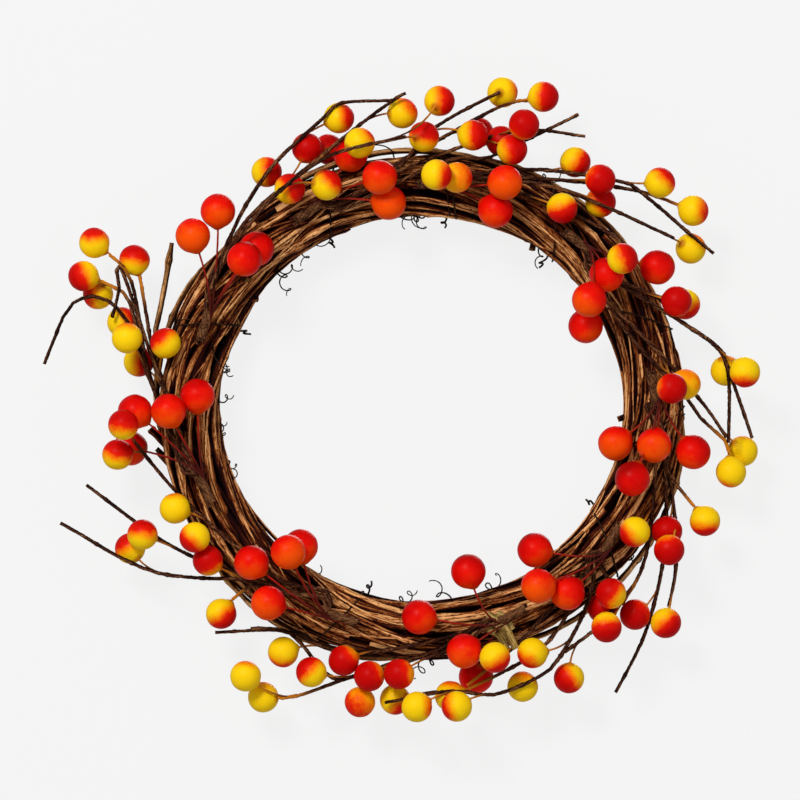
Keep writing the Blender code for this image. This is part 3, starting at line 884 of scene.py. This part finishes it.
class Pick:
    """One berry pick: places are along the ring clockwise, outwards, and towards the room."""

    def __init__(self, name, bearing, fork, twigs, berries, reds):
        self.name = name
        self.bearing = math.radians(bearing)
        self.side = 1 if fork[1] >= 0 else -1
        self.fork = fork
        # Each twig: the lift of its free end, then its points as (along, outwards).
        self.twigs = twigs
        # Each two-tone berry: along, outwards, lift, its twig, the bow of its wire, then the
        # clock bearing of its red side and the share of it that is red, in hundredths.
        self.berries = berries
        # Each red berry: along, outwards, lift, how far its wire rises over the twigs, then
        # its tint, from 0 for deep red to 100 for orange.
        self.reds = reds

    def place(self, along, out, lift=0.0):
        start = (ring_point(self.bearing) - ring_centre) / MM
        x = start.x + along * math.cos(self.bearing) + out * math.sin(self.bearing)
        z = start.z - along * math.sin(self.bearing) + out * math.cos(self.bearing)
        return Vector((x, -lift, z))


def to_world(point):
    """From millimetres about the ring's centre to metres about the hanging point."""
    return ring_centre + point * MM


def lift_over_bundle(point, radius):
    """How far towards the room a wire of this radius has to be to lie on the tied bundle."""
    wide = ring_half_width / MM
    high = ring_half_height / MM
    share = math.hypot(point.x / wide, point.z / high)
    beside = math.hypot(point.x, point.z) * (1 - 1 / share)
    reach = bundle_radius / MM + TIE_STACK + CLEARANCE + radius
    if abs(beside) >= reach:
        return -reach
    return math.sqrt(reach**2 - beside**2)


def smooth_route(points, step):
    """A curve through the given points, read at about every step."""
    points = [Vector(point) for point in points]
    route = []
    for index in range(len(points) - 1):
        before = points[max(index - 1, 0)]
        start = points[index]
        end = points[index + 1]
        after = points[min(index + 2, len(points) - 1)]
        count = max(1, round((end - start).length / step))
        for number in range(count):
            t = number / count
            slope = (end - before) * t
            bend = (2 * before - 5 * start + 4 * end - after) * t**2
            turn = (3 * start - before - 3 * end + after) * t**3
            route.append(start + (slope + bend + turn) / 2)
    route.append(points[-1])
    return route


def twig_route(pick, number):
    """A twig leaves its stem beside the others and settles to the lift of its free end."""
    end_lift, points = pick.twigs[number]
    outs = sorted(pick.side * twig[1][0][1] for twig in pick.twigs)
    rank = outs.index(pick.side * points[0][1])
    nearest = max(pick.side * pick.fork[1] - TWIG_PITCH, TWIG_STEM_OUT)
    root = (STEM_LENGTH - 2, pick.side * TWIG_STEM_OUT)
    fork = (pick.fork[0], pick.side * (nearest + rank * TWIG_PITCH))
    plan = smooth_route([point + (0,) for point in [root, fork] + points], ROUTE_STEP)
    route = []
    travelled = 0.0
    for index, point in enumerate(plan):
        travelled += (point - plan[max(index - 1, 0)]).length
        share = max(0.0, 1 - travelled / TWIG_SETTLE)
        ease = share * share * (3 - 2 * share)
        world = pick.place(point.x, point.y)
        lift = end_lift + (STEM_LIFT - end_lift) * ease
        world.y = -max(lift, lift_over_bundle(world, TWIG_DIAMETER / 2))
        route.append(world)
    return route


PICKS = [
    Pick(
        "left",
        245,
        (25, 3),
        twigs=[
            (17, [(76, 3), (91, 1), (139, -12), (159, -7)]),
            (14, [(70, -2), (96, -6), (140, -18)]),
            (14, [(74, 3), (129, -6), (136, -5), (147, 4)]),
            (14, [(88, 2), (119, 0), (135, 5), (141, 12), (142, 24), (137, 33), (117, 55)]),
            (16, [(151, -10), (149, -7), (139, -4), (125, 7)]),
        ],
        berries=[
            (141, 9, 1, 2, 0, 275, 35), (120, 3, 3, 2, 0, 60, 35), (95, 4, 0, 1, 0, 95, 50),
            (154, 12, 14, 2, 0, 245, 50), (169, -2, 14, 0, 0, 0, 30), (150, -19, 10, 1, 0, 5, 50),
            (110, 4, 34, 0, 0, 0, 6), (98, -15, 21, 1, 0, 320, 35),
        ],
        reds=[
            (51, 30, 0, 12, 50), (69, 18, 29, 4, 50), (61, 0, 38, 4, 65), (62, -19, 29, 4, 45),
        ],
    ),
    Pick(
        "upper_left",
        286,
        (34, 2),
        twigs=[
            (24, [(58, -1), (89, -13), (160, -63), (175, -76)]),
            (48, [(60, -3), (93, -17), (118, -35), (132, -51), (150, -83)]),
            (22, [(57, 1), (86, -4), (115, -14), (149, -34), (159, -41), (168, -69)]),
        ],
        berries=[
            (131, -41, -3, 1, 0, 90, 90), (102, -26, 34, 0, 0, 60, 60), (108, -10, 10, 2, 0, 85, 50),
            (128, -29, 14, 0, 0, 0, 85), (150, -42, 14, 2, 0, 80, 30), (139, -58, 36, 1, 0, 50, 12),
            (110, -46, 36, 1, 0, 40, 35), (163, -77, 14, 0, 0, 50, 20), (176, -96, 14, 1, 24, 90, 50),
            (153, -93, 28, 1, 0, 15, 50),
        ],
        reds=[
            (63, -17, 29, 7, 45), (60, 21, 33, 7, 90), (78, 11, 26, 3, 70), (55, -12, 48, 7, 45),
        ],
    ),
    Pick(
        "top",
        325,
        (27, -7),
        twigs=[
            (16, [(43, -9), (71, -9), (101, -2), (144, -7)]),
            (12, [(45, -8), (74, -7), (138, -14), (154, -21)]),
            (14, [(47, -9), (68, -11), (136, -30), (170, -57)]),
            (15, [(92, -21), (112, -33), (127, -37), (174, -44)]),
        ],
        berries=[
            (120, -19, -4, 1, 0, 90, 90), (128, -31, 8, 2, 0, 90, 90), (94, -34, 40, 2, 0, 90, 42),
            (116, -19, 24, 0, 0, 85, 50), (144, -31, 34, 2, 0, 30, 80), (130, -39, 25, 2, 0, 75, 65),
            (145, -8, 4, 0, 0, 80, 10), (163, -24, 17, 1, 0, 95, 50), (85, -26, 54, 2, 0, 95, 30),
        ],
        reds=[
            (51, 13, 17, 3, 50), (53, -23, 28, 4, 85), (57, -8, 42, 3, 68),
        ],
    ),
    Pick(
        "top_right",
        358,
        (24, 0),
        twigs=[
            (14, [(45, 5), (74, 6), (119, -2), (134, -10), (174, -46)]),
            (12, [(45, 4), (94, -1), (132, -8), (154, -17)]),
            (20, [(45, 2), (87, -6), (151, -37)]),
            (14, [(45, -2), (77, -13), (120, -37), (123, -42), (122, -48), (111, -65)]),
        ],
        berries=[
            (95, 10, 6, 0, 0, 125, 45), (109, -14, 9, 2, 0, 60, 60), (109, -1, 26, 1, 0, 120, 85),
            (86, -17, 29, 3, 0, 160, 50), (161, -43, 5, 2, 0, 45, 10), (144, -4, 20, 0, 0, 45, 35),
            (163, -21, 16, 1, 0, 95, 20), (120, -48, 52, 3, 0, 70, 50),
        ],
        reds=[
            (47, -17, 28, 4, 48), (53, -1, 40, 4, 85),
        ],
    ),
    Pick(
        "upper_right",
        38,
        (24, -6),
        twigs=[
            (24, [(46, -3), (70, 3), (82, 0), (108, 2), (118, 1), (163, -28)]),
            (24, [(49, -4), (111, 2), (123, -2), (134, -12), (154, -38)]),
            (14, [(47, -16), (118, -27), (151, -37)]),
            (14, [(50, -18), (78, -26), (117, -32), (132, -37), (152, -39), (158, -43)]),
        ],
        berries=[
            (84, 10, 14, 0, 0, 150, 30), (127, -6, 13, 1, 0, 20, 5), (113, -27, 25, 3, 0, 20, 36),
            (79, 8, 32, 0, 0, 0, 95), (136, 0, 30, 0, 0, 180, 25), (108, -34, 42, 2, 0, 100, 85),
            (164, -37, 2, 2, 0, 0, 3), (166, -51, 14, 3, 0, 200, 8),
        ],
        reds=[
            (46, -36, 17, 9, 48), (37, -5, 36, 4, 42), (38, -23, 47, 21, 66), (58, 17, 24, 4, 40),
        ],
    ),
    Pick(
        "right",
        80,
        (22, -2),
        twigs=[
            (6, [(43, -1), (101, -9), (150, -28), (184, -53)]),
            (6, [(43, 1), (99, -2), (126, -8), (140, -14)]),
            (11, [(43, -4), (106, -21), (134, -41)]),
            (14, [(43, -1), (61, -1), (84, 11)]),
        ],
        berries=[
            (96, -7, 14, 1, 0, 20, 90), (94, 16, 14, 3, 0, 180, 30), (93, -26, 35, 2, 0, 225, 35),
            (107, -8, 29, 1, 40, 170, 75), (141, -34, 15, 0, 0, 220, 90), (149, -17, 14, 1, 0, 140, 50),
            (134, -52, 14, 2, 0, 0, 100), (126, -46, 34, 2, 0, 300, 65), (145, -52, 34, 2, 21, 170, 60),
        ],
        reds=[
            (62, -22, 38, 16, 22), (40, -28, 25, 6, 80), (45, -6, 32, 4, 80), (53, 16, 24, 4, 45),
        ],
    ),
    Pick(
        "lower_right",
        120,
        (24, -3),
        twigs=[
            (24, [(48, 6), (86, 8), (103, 3), (124, -14), (135, -38), (160, -68)]),
            (12, [(53, -1), (89, -4), (129, -29)]),
            (14, [(56, -7), (69, -12), (90, -16), (128, -31)]),
            (23, [(45, 21), (82, 9)]),
        ],
        berries=[
            (138, -36, 14, 1, 0, 10, 15), (156, -63, 12, 0, 0, 140, 25), (92, -7, 23, 0, 0, 215, 20),
            (112, -2, 13, 0, 0, 0, 10), (94, 19, 14, 3, 0, 235, 50), (105, -25, 39, 2, 0, 150, 35),
            (153, -50, 32, 0, 0, 90, 8), (141, -30, 32, 0, 0, 260, 25),
        ],
        reds=[
            (56, -24, 43, 10, 82), (39, -36, 24, 7, 45), (51, -7, 32, 5, 55),
        ],
    ),
    Pick(
        "bottom",
        152,
        (25, -3),
        twigs=[
            (13, [(57, -3), (88, -7), (119, -15), (123, -22), (130, -52), (149, -65)]),
            (10, [(43, -4), (93, -20), (115, -34), (133, -55), (169, -73)]),
            (14, [(59, 0), (81, -7), (143, -17), (154, -22)]),
        ],
        berries=[
            (130, -26, 22, 2, 0, 310, 45), (110, -23, 19, 1, 0, 225, 80), (101, -8, 25, 2, 0, 250, 75),
            (139, -44, 14, 1, 0, 190, 20), (113, 3, 14, 2, 0, 225, 48), (165, -42, 22, 2, 0, 0, 4),
            (162, -26, 7, 2, 0, 0, 4), (85, -1, 31, 2, 0, 260, 80),
        ],
        reds=[
            (46, 22, 0, 4, 25), (59, -25, 28, 4, 48), (21, -35, 26, 6, 40), (45, 5, 32, 4, 60),
        ],
    ),
    Pick(
        "lower_left",
        196,
        (24, -10),
        twigs=[
            (10, [(51, -7), (117, -13), (177, -34)]),
            (14, [(50, -5), (75, -6), (98, 0), (132, 4), (185, -8)]),
            (14, [(52, -12), (99, -31), (132, -49), (158, -67)]),
            (14, [(45, -7), (62, -8), (71, 0), (76, 7)]),
        ],
        berries=[
            (142, -5, 4, 1, 0, 320, 35), (96, -11, 24, 1, 0, 330, 75), (123, -35, 23, 2, 0, 0, 4),
            (80, 17, 14, 3, 0, 145, 45), (164, -56, 19, 2, 0, 15, 50), (107, -22, 34, 0, -4, 225, 40),
            (137, -15, 20, 0, 0, 0, 40), (165, -74, 47, 2, 0, 5, 60),
        ],
        reds=[
            (46, -34, 24, 4, 45), (55, 3, 36, 4, 68), (71, -17, 33, 4, 58), (52, -29, 44, 4, 80),
        ],
    ),
]

# ---------------------------------------------------------------------------------------
# Stems and twigs. Each twig is a wire wound in strips of brown paper, whose edges show as
# slanting streaks. The twigs end bare and blunt, and their feet lie together in the stem.
# Those that end at a berry have caught its paint.
# ---------------------------------------------------------------------------------------
PAPER_STOPS = (
    (0.14, (0.008, 0.002, 0.001)),
    (0.38, (0.030, 0.007, 0.003)),
    (0.60, (0.110, 0.034, 0.013)),
    (0.86, (0.360, 0.160, 0.060)),
)
brown_paper = bark_finish("brown paper wrap", PAPER_STOPS, 0.88, 0.5)
# A twig whose end is nearer than this to a berry's middle has caught its paint.
PAINT_REACH = 11.8
TWIG_STEM_STEPS = (0, 8, 16, STEM_LENGTH)
# The ridges of the paper stand past the wire's own thickness.
PAPER_SHARE = 1.08
for pick in PICKS:
    draw = random.Random(pick.name)
    out = pick.side * TWIG_STEM_OUT
    stem = [pick.place(along, out, STEM_LIFT) for along in TWIG_STEM_STEPS]
    routes = [twig_route(pick, number) for number in range(len(pick.twigs))]
    lines = [[to_world(point) for point in route] for route in [stem] + routes]
    values = {
        **WIRE_VALUES,
        "Thickness": TWIG_DIAMETER * PAPER_SHARE * MM,
        "Finish": brown_paper,
        "Sides": 12,
        "Step": 0.9 * MM,
        "Wander": 1.0 * MM,
        "Uneven": 0.2,
        "Joint": 0.35,
        "Joint Gap": 26 * MM,
        "Tip": 0.72,
        "Ridge": 0.45 * MM,
        "Ridge Width": 0.9 * MM,
        "Ridge Length": 9 * MM,
        "Twist": 210.0,
    }
    seeds = [draw.uniform(0, 60) for _ in lines]
    centres = [pick.place(*berry[:3]) for berry in pick.berries]
    gaps = [min((route[-1] - centre).length for centre in centres) for route in routes]
    painted = [0.0] + [float(gap < PAINT_REACH) for gap in gaps]
    seeded = threads(lines, seed=seeds, painted=painted)
    twigs = grow(f"{pick.name}_twigs", seeded, stalks, values)
    finish_piece(twigs, "floral_tape", f"{pick.name}_two_tone_spray")

# ---------------------------------------------------------------------------------------
# Berry wires. Each berry sits on its own thin wire, which branches off a twig. The paint was
# sprayed on after the berry, so the wire turns from brown to the colour of its berry.
# ---------------------------------------------------------------------------------------
WIRE_THICKNESS = 1.1 * MM
WIRE_STEPS = 10
WIRE_WAVES = (1500, 1500, 500)
# How fast a wire turns to its berry's colour, how late it starts, and how speckled it is.
SPRAY_RISE = 1.8
SPRAY_START = 0.40
SPRAY_SPECKLE = 0.5
WIRE_SHEEN = 0.10
WIRE_BUMP = 0.2 * MM
# Colours of each wire at its root and at its berry.
GOLD_COLOURS = ((0.07, 0.016, 0.006, 1), (0.78, 0.26, 0.012, 1))
RED_COLOURS = ((0.07, 0.006, 0.004, 1), (0.38, 0.014, 0.003, 1))


def wire_finish(name, root, tip):
    """Brown paper at the root, which turns to the colour of the berry."""
    made, bench, shader = new_finish(name)
    grain = bench.stored("grain", "Vector")
    fine = bench.noise(bench.vector("MULTIPLY", grain, WIRE_WAVES), 1.0, 3.0)
    share = bench.stored("share") * SPRAY_RISE - SPRAY_START
    share = (share + (fine - 0.5) * SPRAY_SPECKLE).held()
    bench.wire(shader, {"Base Color": bench.mixed(share, root, tip), "Roughness": 0.4 + fine * 0.2})
    bench.wire(shader, {"Specular IOR Level": WIRE_SHEEN})
    bumped(bench, shader, fine, 0.5, WIRE_BUMP)
    return made


gold_wire = wire_finish("gold wire", *GOLD_COLOURS)
red_wire = wire_finish("red wire", *RED_COLOURS)


def bowed(start, knee, end):
    """A wire leaves along its twig and curves over its knee into its berry."""
    points = []
    for step in range(WIRE_STEPS + 1):
        t = step / WIRE_STEPS
        points.append(start * (1 - t) ** 2 + knee * 2 * t * (1 - t) + end * t**2)
    return points


# How far back along its twig a wire branches off: at the least, and where the twig goes on
# past the berry, which is eased by a share of the gap between them. In millimetres.
BRANCH_BACK = 6.0
PASSING_BACK = 24.0
PASSING_EASE = 0.3
# Where a wire's knee lies: its share of the wire, and for red wires how far past the stem.
KNEE_SHARE = 0.42
RED_KNEE_AHEAD = 5
RED_STEM_STEPS = (0, 7, 14, STEM_LENGTH)


def berry_wire(routes, centre, twig, bow):
    """From the twig, a little before the nearest place to the berry, into its middle."""
    route = routes[twig]
    gaps = [math.hypot(point.x - centre.x, point.z - centre.z) for point in route]
    index = gaps.index(min(gaps))
    back = BRANCH_BACK
    if index < len(route) - 1:
        back = max(back, PASSING_BACK - PASSING_EASE * gaps[index])
    travelled = 0.0
    while index > 0 and travelled < back:
        travelled += (route[index] - route[index - 1]).length
        index -= 1
    start = route[index]
    ahead = (route[index + 1] - start).normalized()
    knee = start + ahead * (centre - start).length * KNEE_SHARE - Vector((0, bow / 2, 0))
    return bowed(start, knee, centre)


for pick in PICKS:
    draw = random.Random(pick.name + " wires")
    routes = [twig_route(pick, number) for number in range(len(pick.twigs))]
    pick.gold = []
    for along, out, lift, twig, bow, *_ in pick.berries:
        pick.gold.append(berry_wire(routes, pick.place(along, out, lift), twig, bow))
    out = pick.side * RED_STEM_OUT
    stem = [pick.place(along, out, STEM_LIFT) for along in RED_STEM_STEPS]
    pick.red = []
    for along, outwards, lift, rise, _ in pick.reds:
        knee = pick.place(STEM_LENGTH + RED_KNEE_AHEAD, out, STEM_LIFT + rise)
        pick.red.append(bowed(stem[2], knee, pick.place(along, outwards, lift)))
    sets = (("berry_wires", gold_wire, pick.gold), ("red_wires", red_wire, [stem] + pick.red))
    for label, finish, routes in sets:
        lines = [[to_world(point) for point in route] for route in routes]
        values = {**WIRE_VALUES, "Thickness": WIRE_THICKNESS, "Finish": finish, "Tip": 1.1}
        seeds = [draw.uniform(0, 60) for _ in lines]
        wires = grow(f"{pick.name}_{label}", threads(lines, seed=seeds), stalks, values)
        spray = "two_tone_spray" if finish is gold_wire else "red_spray"
        slot = "two_tone_berry" if finish is gold_wire else "red_berry"
        finish_piece(wires, slot, f"{pick.name}_{spray}")

# ---------------------------------------------------------------------------------------
# Berries. Foam balls dipped in paint, which left a drawn-out neck at the wire. The smaller
# ones are yellow, with a red blush sprayed on one side. The larger ones are red to orange.
# ---------------------------------------------------------------------------------------
TWO_TONE_DIAMETER = 18.0 * MM
RED_DIAMETER = 20.4 * MM
# The neck starts at this share of the ball's radius, and rises along a curve to the pole.
NECK_START = 0.90
NECK_RISE = 0.10
NECK_CURVE = 2.2
LUMP_SCALE = 110.0


def berry_growth():
    """Sets a ball with a drawn-out neck on each point, its neck turned to the wire."""
    inputs = {"Diameter": "Float", "Neck": "Float", "Lumps": "Float", "Finish": "Material"}
    made = Growth("berries", inputs)
    given = made.given
    ball = made.node(
        "GeometryNodeMeshUVSphere",
        {},
        {"Segments": 36, "Rings": 22, "Radius": given("Diameter") / 2},
        "Mesh",
    )
    place = made.node("GeometryNodeInputPosition")
    height = made.node("ShaderNodeSeparateXYZ", {}, {0: place}, "Z") / given("Diameter") * 2
    neck = ((height - NECK_START) / NECK_RISE).held() ** NECK_CURVE * given("Neck")
    drawn = made.node("ShaderNodeCombineXYZ", {}, {"Z": neck})
    ball = made.node("GeometryNodeSetPosition", {}, {"Geometry": ball, "Offset": drawn})
    points = made.store(given("Geometry"), "centre", made.node("GeometryNodeInputPosition"))
    turn = made.node(
        "FunctionNodeAlignRotationToVector", {"axis": "Z"}, {"Vector": made.carried("stalk")}
    )
    balls = made.node(
        "GeometryNodeInstanceOnPoints",
        {},
        {"Points": points, "Instance": ball, "Rotation": turn},
    )
    balls = made.node("GeometryNodeRealizeInstances", {}, {0: balls})
    place = made.node("GeometryNodeInputPosition")
    swell = (made.noise(place, LUMP_SCALE, 1.0) - 0.5) * given("Lumps")
    normal = made.node("GeometryNodeInputNormal")
    lump = made.scaled(normal, swell)
    balls = made.node("GeometryNodeSetPosition", {}, {"Geometry": balls, "Offset": lump})
    made.close(balls, given("Finish"))
    return made


def berry_seeds(berries):
    """A seed point for each berry: its centre, the way to its wire, its blush and tint."""
    mesh = bpy.data.meshes.new("berries")
    mesh.from_pydata([tuple(berry[0]) for berry in berries], [], [])
    for name, index in (("stalk", 1), ("blush", 2)):
        flat = [number for berry in berries for number in berry[index]]
        mesh.attributes.new(name, "FLOAT_VECTOR", "POINT").data.foreach_set("vector", flat)
    tints = [berry[3] for berry in berries]
    mesh.attributes.new("tint", "FLOAT", "POINT").data.foreach_set("value", tints)
    return mesh


SPECKLE_SCALE = 1900.0
SPECKLE_WEIGHT = 0.42
CLOUD_SCALE = 130.0
CLOUD_WEIGHT = 0.5
# A tint runs from 0 to 1, and moves the edge of the blush this far across the ball.
TINT_SPAN = 2.4
# Round its neck a ball is browner: where that starts, its width, its strength and its colour.
BROWN_START = 0.93
BROWN_RISE = 0.06
BROWN_SHARE = 0.75
NECK_BROWN = (0.42, 0.07, 0.006, 1)
BERRY_SHEEN = 0.05
BERRY_BUMP = 0.35 * MM


def berry_finish(name, spread, stops, rough):
    """Sprayed paint: a speckled blush that runs from the first colour into the last."""
    made, bench, shader = new_finish(name)
    place = bench.node("ShaderNodeTexCoord", {}, {}, "Object")
    way = bench.vector("SUBTRACT", place, bench.stored("centre", "Vector"))
    way = bench.vector("NORMALIZE", way)
    side = bench.vector("DOT_PRODUCT", way, bench.stored("blush", "Vector"), "Value")
    neck = bench.vector("DOT_PRODUCT", way, bench.stored("stalk", "Vector"), "Value")
    speckle = bench.noise(place, SPECKLE_SCALE, 3.0, 0.6)
    cloud = bench.noise(place, CLOUD_SCALE, 2.0)
    level = 0.5 + (side + (bench.stored("tint") * TINT_SPAN - TINT_SPAN / 2)) / spread
    level = level + (speckle - 0.5) * SPECKLE_WEIGHT + (cloud - 0.5) * CLOUD_WEIGHT
    colour = bench.ramp(level, stops)
    brown = ((neck - BROWN_START) / BROWN_RISE).held()
    brown = (brown + (speckle - 0.5) * 0.4).held() * BROWN_SHARE
    colour = bench.mixed(brown, colour, NECK_BROWN)
    bench.wire(shader, {"Base Color": colour, "Roughness": rough + (cloud - 0.5) * 0.16})
    bench.wire(shader, {"Specular IOR Level": BERRY_SHEEN})
    bumped(bench, shader, speckle * 0.4 + cloud, 0.35, BERRY_BUMP)
    return made


TWO_TONE_STOPS = (
    (0.00, (1.000, 0.640, 0.004)),
    (0.22, (1.000, 0.450, 0.003)),
    (0.42, (1.000, 0.200, 0.002)),
    (0.62, (0.800, 0.009, 0.001)),
    (1.00, (0.560, 0.001, 0.001)),
)
RED_STOPS = (
    (0.00, (0.340, 0.001, 0.001)),
    (0.38, (0.680, 0.001, 0.001)),
    (0.66, (0.860, 0.007, 0.001)),
    (1.00, (0.950, 0.080, 0.001)),
)
# How far across a ball the blush fades out.
TWO_TONE_SPREAD = 1.2
RED_SPREAD = 2.6
# Berries whose blush was sprayed on all round, as (pick, place in its list), and how much of
# the change across the ball is left on them.
EVEN_COATS = (("bottom", 4), ("top", 2), ("upper_right", 2))
EVEN_SHARE = 0.3
# Clock bearings of the orange side of the red berries, and how far it faces the room.
RED_BLUSH_BEARINGS = (150, 180, 210)
RED_BLUSH_FACING = 0.4
berries = berry_growth()
two_tone_paint = berry_finish("two-tone berry paint", TWO_TONE_SPREAD, TWO_TONE_STOPS, 0.38)
red_paint = berry_finish("red berry paint", RED_SPREAD, RED_STOPS, 0.34)


def neck_way(wire):
    """The way from a berry's middle to where its wire comes in."""
    return (wire[-4] - wire[-1]).normalized()


for pick in PICKS:
    draw = random.Random(pick.name + " berries")
    seeds = []
    for index, (berry, wire) in enumerate(zip(pick.berries, pick.gold)):
        along, out, lift, _, _, way, share = berry
        turn = math.radians(way)
        blush = Vector((math.sin(turn), draw.uniform(-0.25, 0.1), math.cos(turn))).normalized()
        if (pick.name, index) in EVEN_COATS:
            blush *= EVEN_SHARE
        centre = to_world(pick.place(along, out, lift))
        seeds.append((centre, neck_way(wire), blush, share / 100))
    values = {
        "Diameter": TWO_TONE_DIAMETER,
        "Neck": 1.3 * MM,
        "Lumps": 0.5 * MM,
        "Finish": two_tone_paint,
    }
    piece = grow(f"{pick.name}_two_tone_berries", berry_seeds(seeds), berries, values)
    finish_piece(piece, "two_tone_berry", f"{pick.name}_two_tone_spray")
    seeds = []
    for (along, out, lift, _, tint), wire in zip(pick.reds, pick.red):
        turn = math.radians(draw.choice(RED_BLUSH_BEARINGS))
        blush = Vector((math.sin(turn), -RED_BLUSH_FACING, math.cos(turn))).normalized()
        centre = to_world(pick.place(along, out, lift))
        seeds.append((centre, neck_way(wire), blush, tint / 100))
    values = {
        "Diameter": RED_DIAMETER,
        "Neck": 1.1 * MM,
        "Lumps": 0.6 * MM,
        "Finish": red_paint,
    }
    piece = grow(f"{pick.name}_red_berries", berry_seeds(seeds), berries, values)
    finish_piece(piece, "red_berry", f"{pick.name}_red_spray")

# ---------------------------------------------------------------------------------------
# Floral tape. Each pick's two stems are bound together with a few turns of waxed brown tape,
# stretched tight, so it creases along the stems and turns slowly round them.
# ---------------------------------------------------------------------------------------
TAPE_STOPS = (
    (0.10, (0.006, 0.002, 0.001)),
    (0.45, (0.045, 0.014, 0.005)),
    (0.80, (0.220, 0.090, 0.034)),
)
waxed_tape = bark_finish("waxed floral tape", TAPE_STOPS, 0.80, 0.45)
# Where along the stem the tape starts and ends, and how much shorter each of its layers is.
TAPE_ENDS = (2, 20)
TAPE_LAYERS = (0.0, 0.12)
TAPE_THICKNESS = 5.4 * MM
TAPE_STEPS = 6
for pick in PICKS:
    ends = [pick.place(along, 0, STEM_LIFT) for along in TAPE_ENDS]
    lines = []
    for share in TAPE_LAYERS:
        start = to_world(ends[0].lerp(ends[1], share))
        end = to_world(ends[1].lerp(ends[0], share))
        lines.append([start.lerp(end, step / TAPE_STEPS) for step in range(TAPE_STEPS + 1)])
    values = {
        **WIRE_VALUES,
        "Thickness": TAPE_THICKNESS,
        "Finish": waxed_tape,
        "Sides": 20,
        "Step": 0.6 * MM,
        "Wander": 0.0,
        "Uneven": 0.12,
        "Tip": 0.86,
        "Ridge": 0.9 * MM,
        "Ridge Width": 1.5 * MM,
        "Ridge Length": 9 * MM,
        "Twist": 160.0,
    }
    tape = grow(f"{pick.name}_tape_wrap", threads(lines, seed=[0.0, 3.0]), stalks, values)
    finish_piece(tape, "floral_tape", f"{pick.name}_tape")

# ---------------------------------------------------------------------------------------
# The room. The wreath hangs on a pale wall over a pale floor, in soft daylight that comes
# from the upper left. The wall can't be seen from behind, so the wreath's back can.
# ---------------------------------------------------------------------------------------
# The room's half width, how far its floor is below the hanging point, and the gap between
# the wreath and the wall.
ROOM = 12.0
FLOOR_DROP = 0.62
WALL_GAP = 4.0 * MM
# The wall's own glow keeps it pale and even. The floor has a share of it.
PALE = (0.075, 0.075, 0.075, 1)
GLOW = 0.835
FLOOR_SHARE = 0.9
DAYLIGHT = 0.44


def plain_sheet(name, corners, finish):
    """A flat part of the room, which throws no light or reflection on the wreath."""
    mesh = bpy.data.meshes.new(name)
    mesh.from_pydata([tuple(corner) for corner in corners], [], [(0, 1, 2, 3)])
    mesh.materials.append(finish)
    made = bpy.data.objects.new(name, mesh)
    made.visible_diffuse = False
    made.visible_glossy = False
    bpy.context.collection.objects.link(made)


wall_paint, bench, shader = new_finish("wall paint")
bench.wire(shader, {"Base Color": PALE, "Roughness": 0.9, "Specular IOR Level": 0.1})
bench.wire(shader, {"Emission Color": (1, 1, 1, 1), "Emission Strength": GLOW})
clear = bench.node("ShaderNodeBsdfTransparent")
behind = bench.node("ShaderNodeNewGeometry", {}, {}, "Backfacing")
sockets = {0: behind, 1: Strand(bench, shader.outputs[0]), 2: clear}
one_sided = bench.node("ShaderNodeMixShader", {}, sockets)
output = wall_paint.node_tree.nodes["Material Output"]
wall_paint.node_tree.links.new(one_sided.socket, output.inputs["Surface"])
wall_y = cad_box[1].y + WALL_GAP
floor_z = -FLOOR_DROP
plain_sheet(
    "wall",
    [
        (-ROOM, wall_y, floor_z),
        (ROOM, wall_y, floor_z),
        (ROOM, wall_y, ROOM),
        (-ROOM, wall_y, ROOM),
    ],
    wall_paint,
)
floor_paint, bench, shader = new_finish("floor paint")
bench.wire(shader, {"Base Color": PALE, "Roughness": 0.8, "Specular IOR Level": 0.1})
bench.wire(shader, {"Emission Color": (1, 1, 1, 1), "Emission Strength": GLOW * FLOOR_SHARE})
plain_sheet(
    "floor",
    [
        (-ROOM, -ROOM, floor_z),
        (ROOM, -ROOM, floor_z),
        (ROOM, ROOM, floor_z),
        (-ROOM, ROOM, floor_z),
    ],
    floor_paint,
)
scene = bpy.context.scene
world = bpy.data.worlds.new("daylight")
world.use_nodes = True
world.node_tree.nodes["Background"].inputs["Color"].default_value = (1, 1, 1, 1)
world.node_tree.nodes["Background"].inputs["Strength"].default_value = DAYLIGHT
scene.world = world
scene.view_settings.view_transform = "Standard"


def soft_light(name, place, size, power):
    """A square light that looks at the middle of the ring."""
    data = bpy.data.lights.new(name, "AREA")
    data.size = size
    data.energy = power
    made = bpy.data.objects.new(name, data)
    made.location = place
    made.rotation_mode = "QUATERNION"
    made.rotation_quaternion = (Vector(place) - ring_centre).to_track_quat("Z", "Y")
    made.visible_camera = False
    bpy.context.collection.objects.link(made)


soft_light("window", place=(-1.1, -2.8, 1.5), size=0.9, power=74)
soft_light("fill", place=(1.6, -2.8, -0.4), size=1.6, power=8)
soft_light("back fill", place=(0.6, 2.6, 1.2), size=1.5, power=30)

FRAME_WIDTH = 0.470
CAMERA_DISTANCE = 8.0
AIM = ring_centre + Vector((-12.9 * MM, 0, 4.7 * MM))
camera = bpy.data.cameras.new("camera")
camera.sensor_width = 36
camera.lens = camera.sensor_width * CAMERA_DISTANCE / FRAME_WIDTH
camera.clip_end = 60
viewer = bpy.data.objects.new("camera", camera)
viewer.location = (AIM.x, -CAMERA_DISTANCE, AIM.z)
viewer.rotation_euler = (math.pi / 2, 0, 0)
bpy.context.collection.objects.link(viewer)
scene.camera = viewer
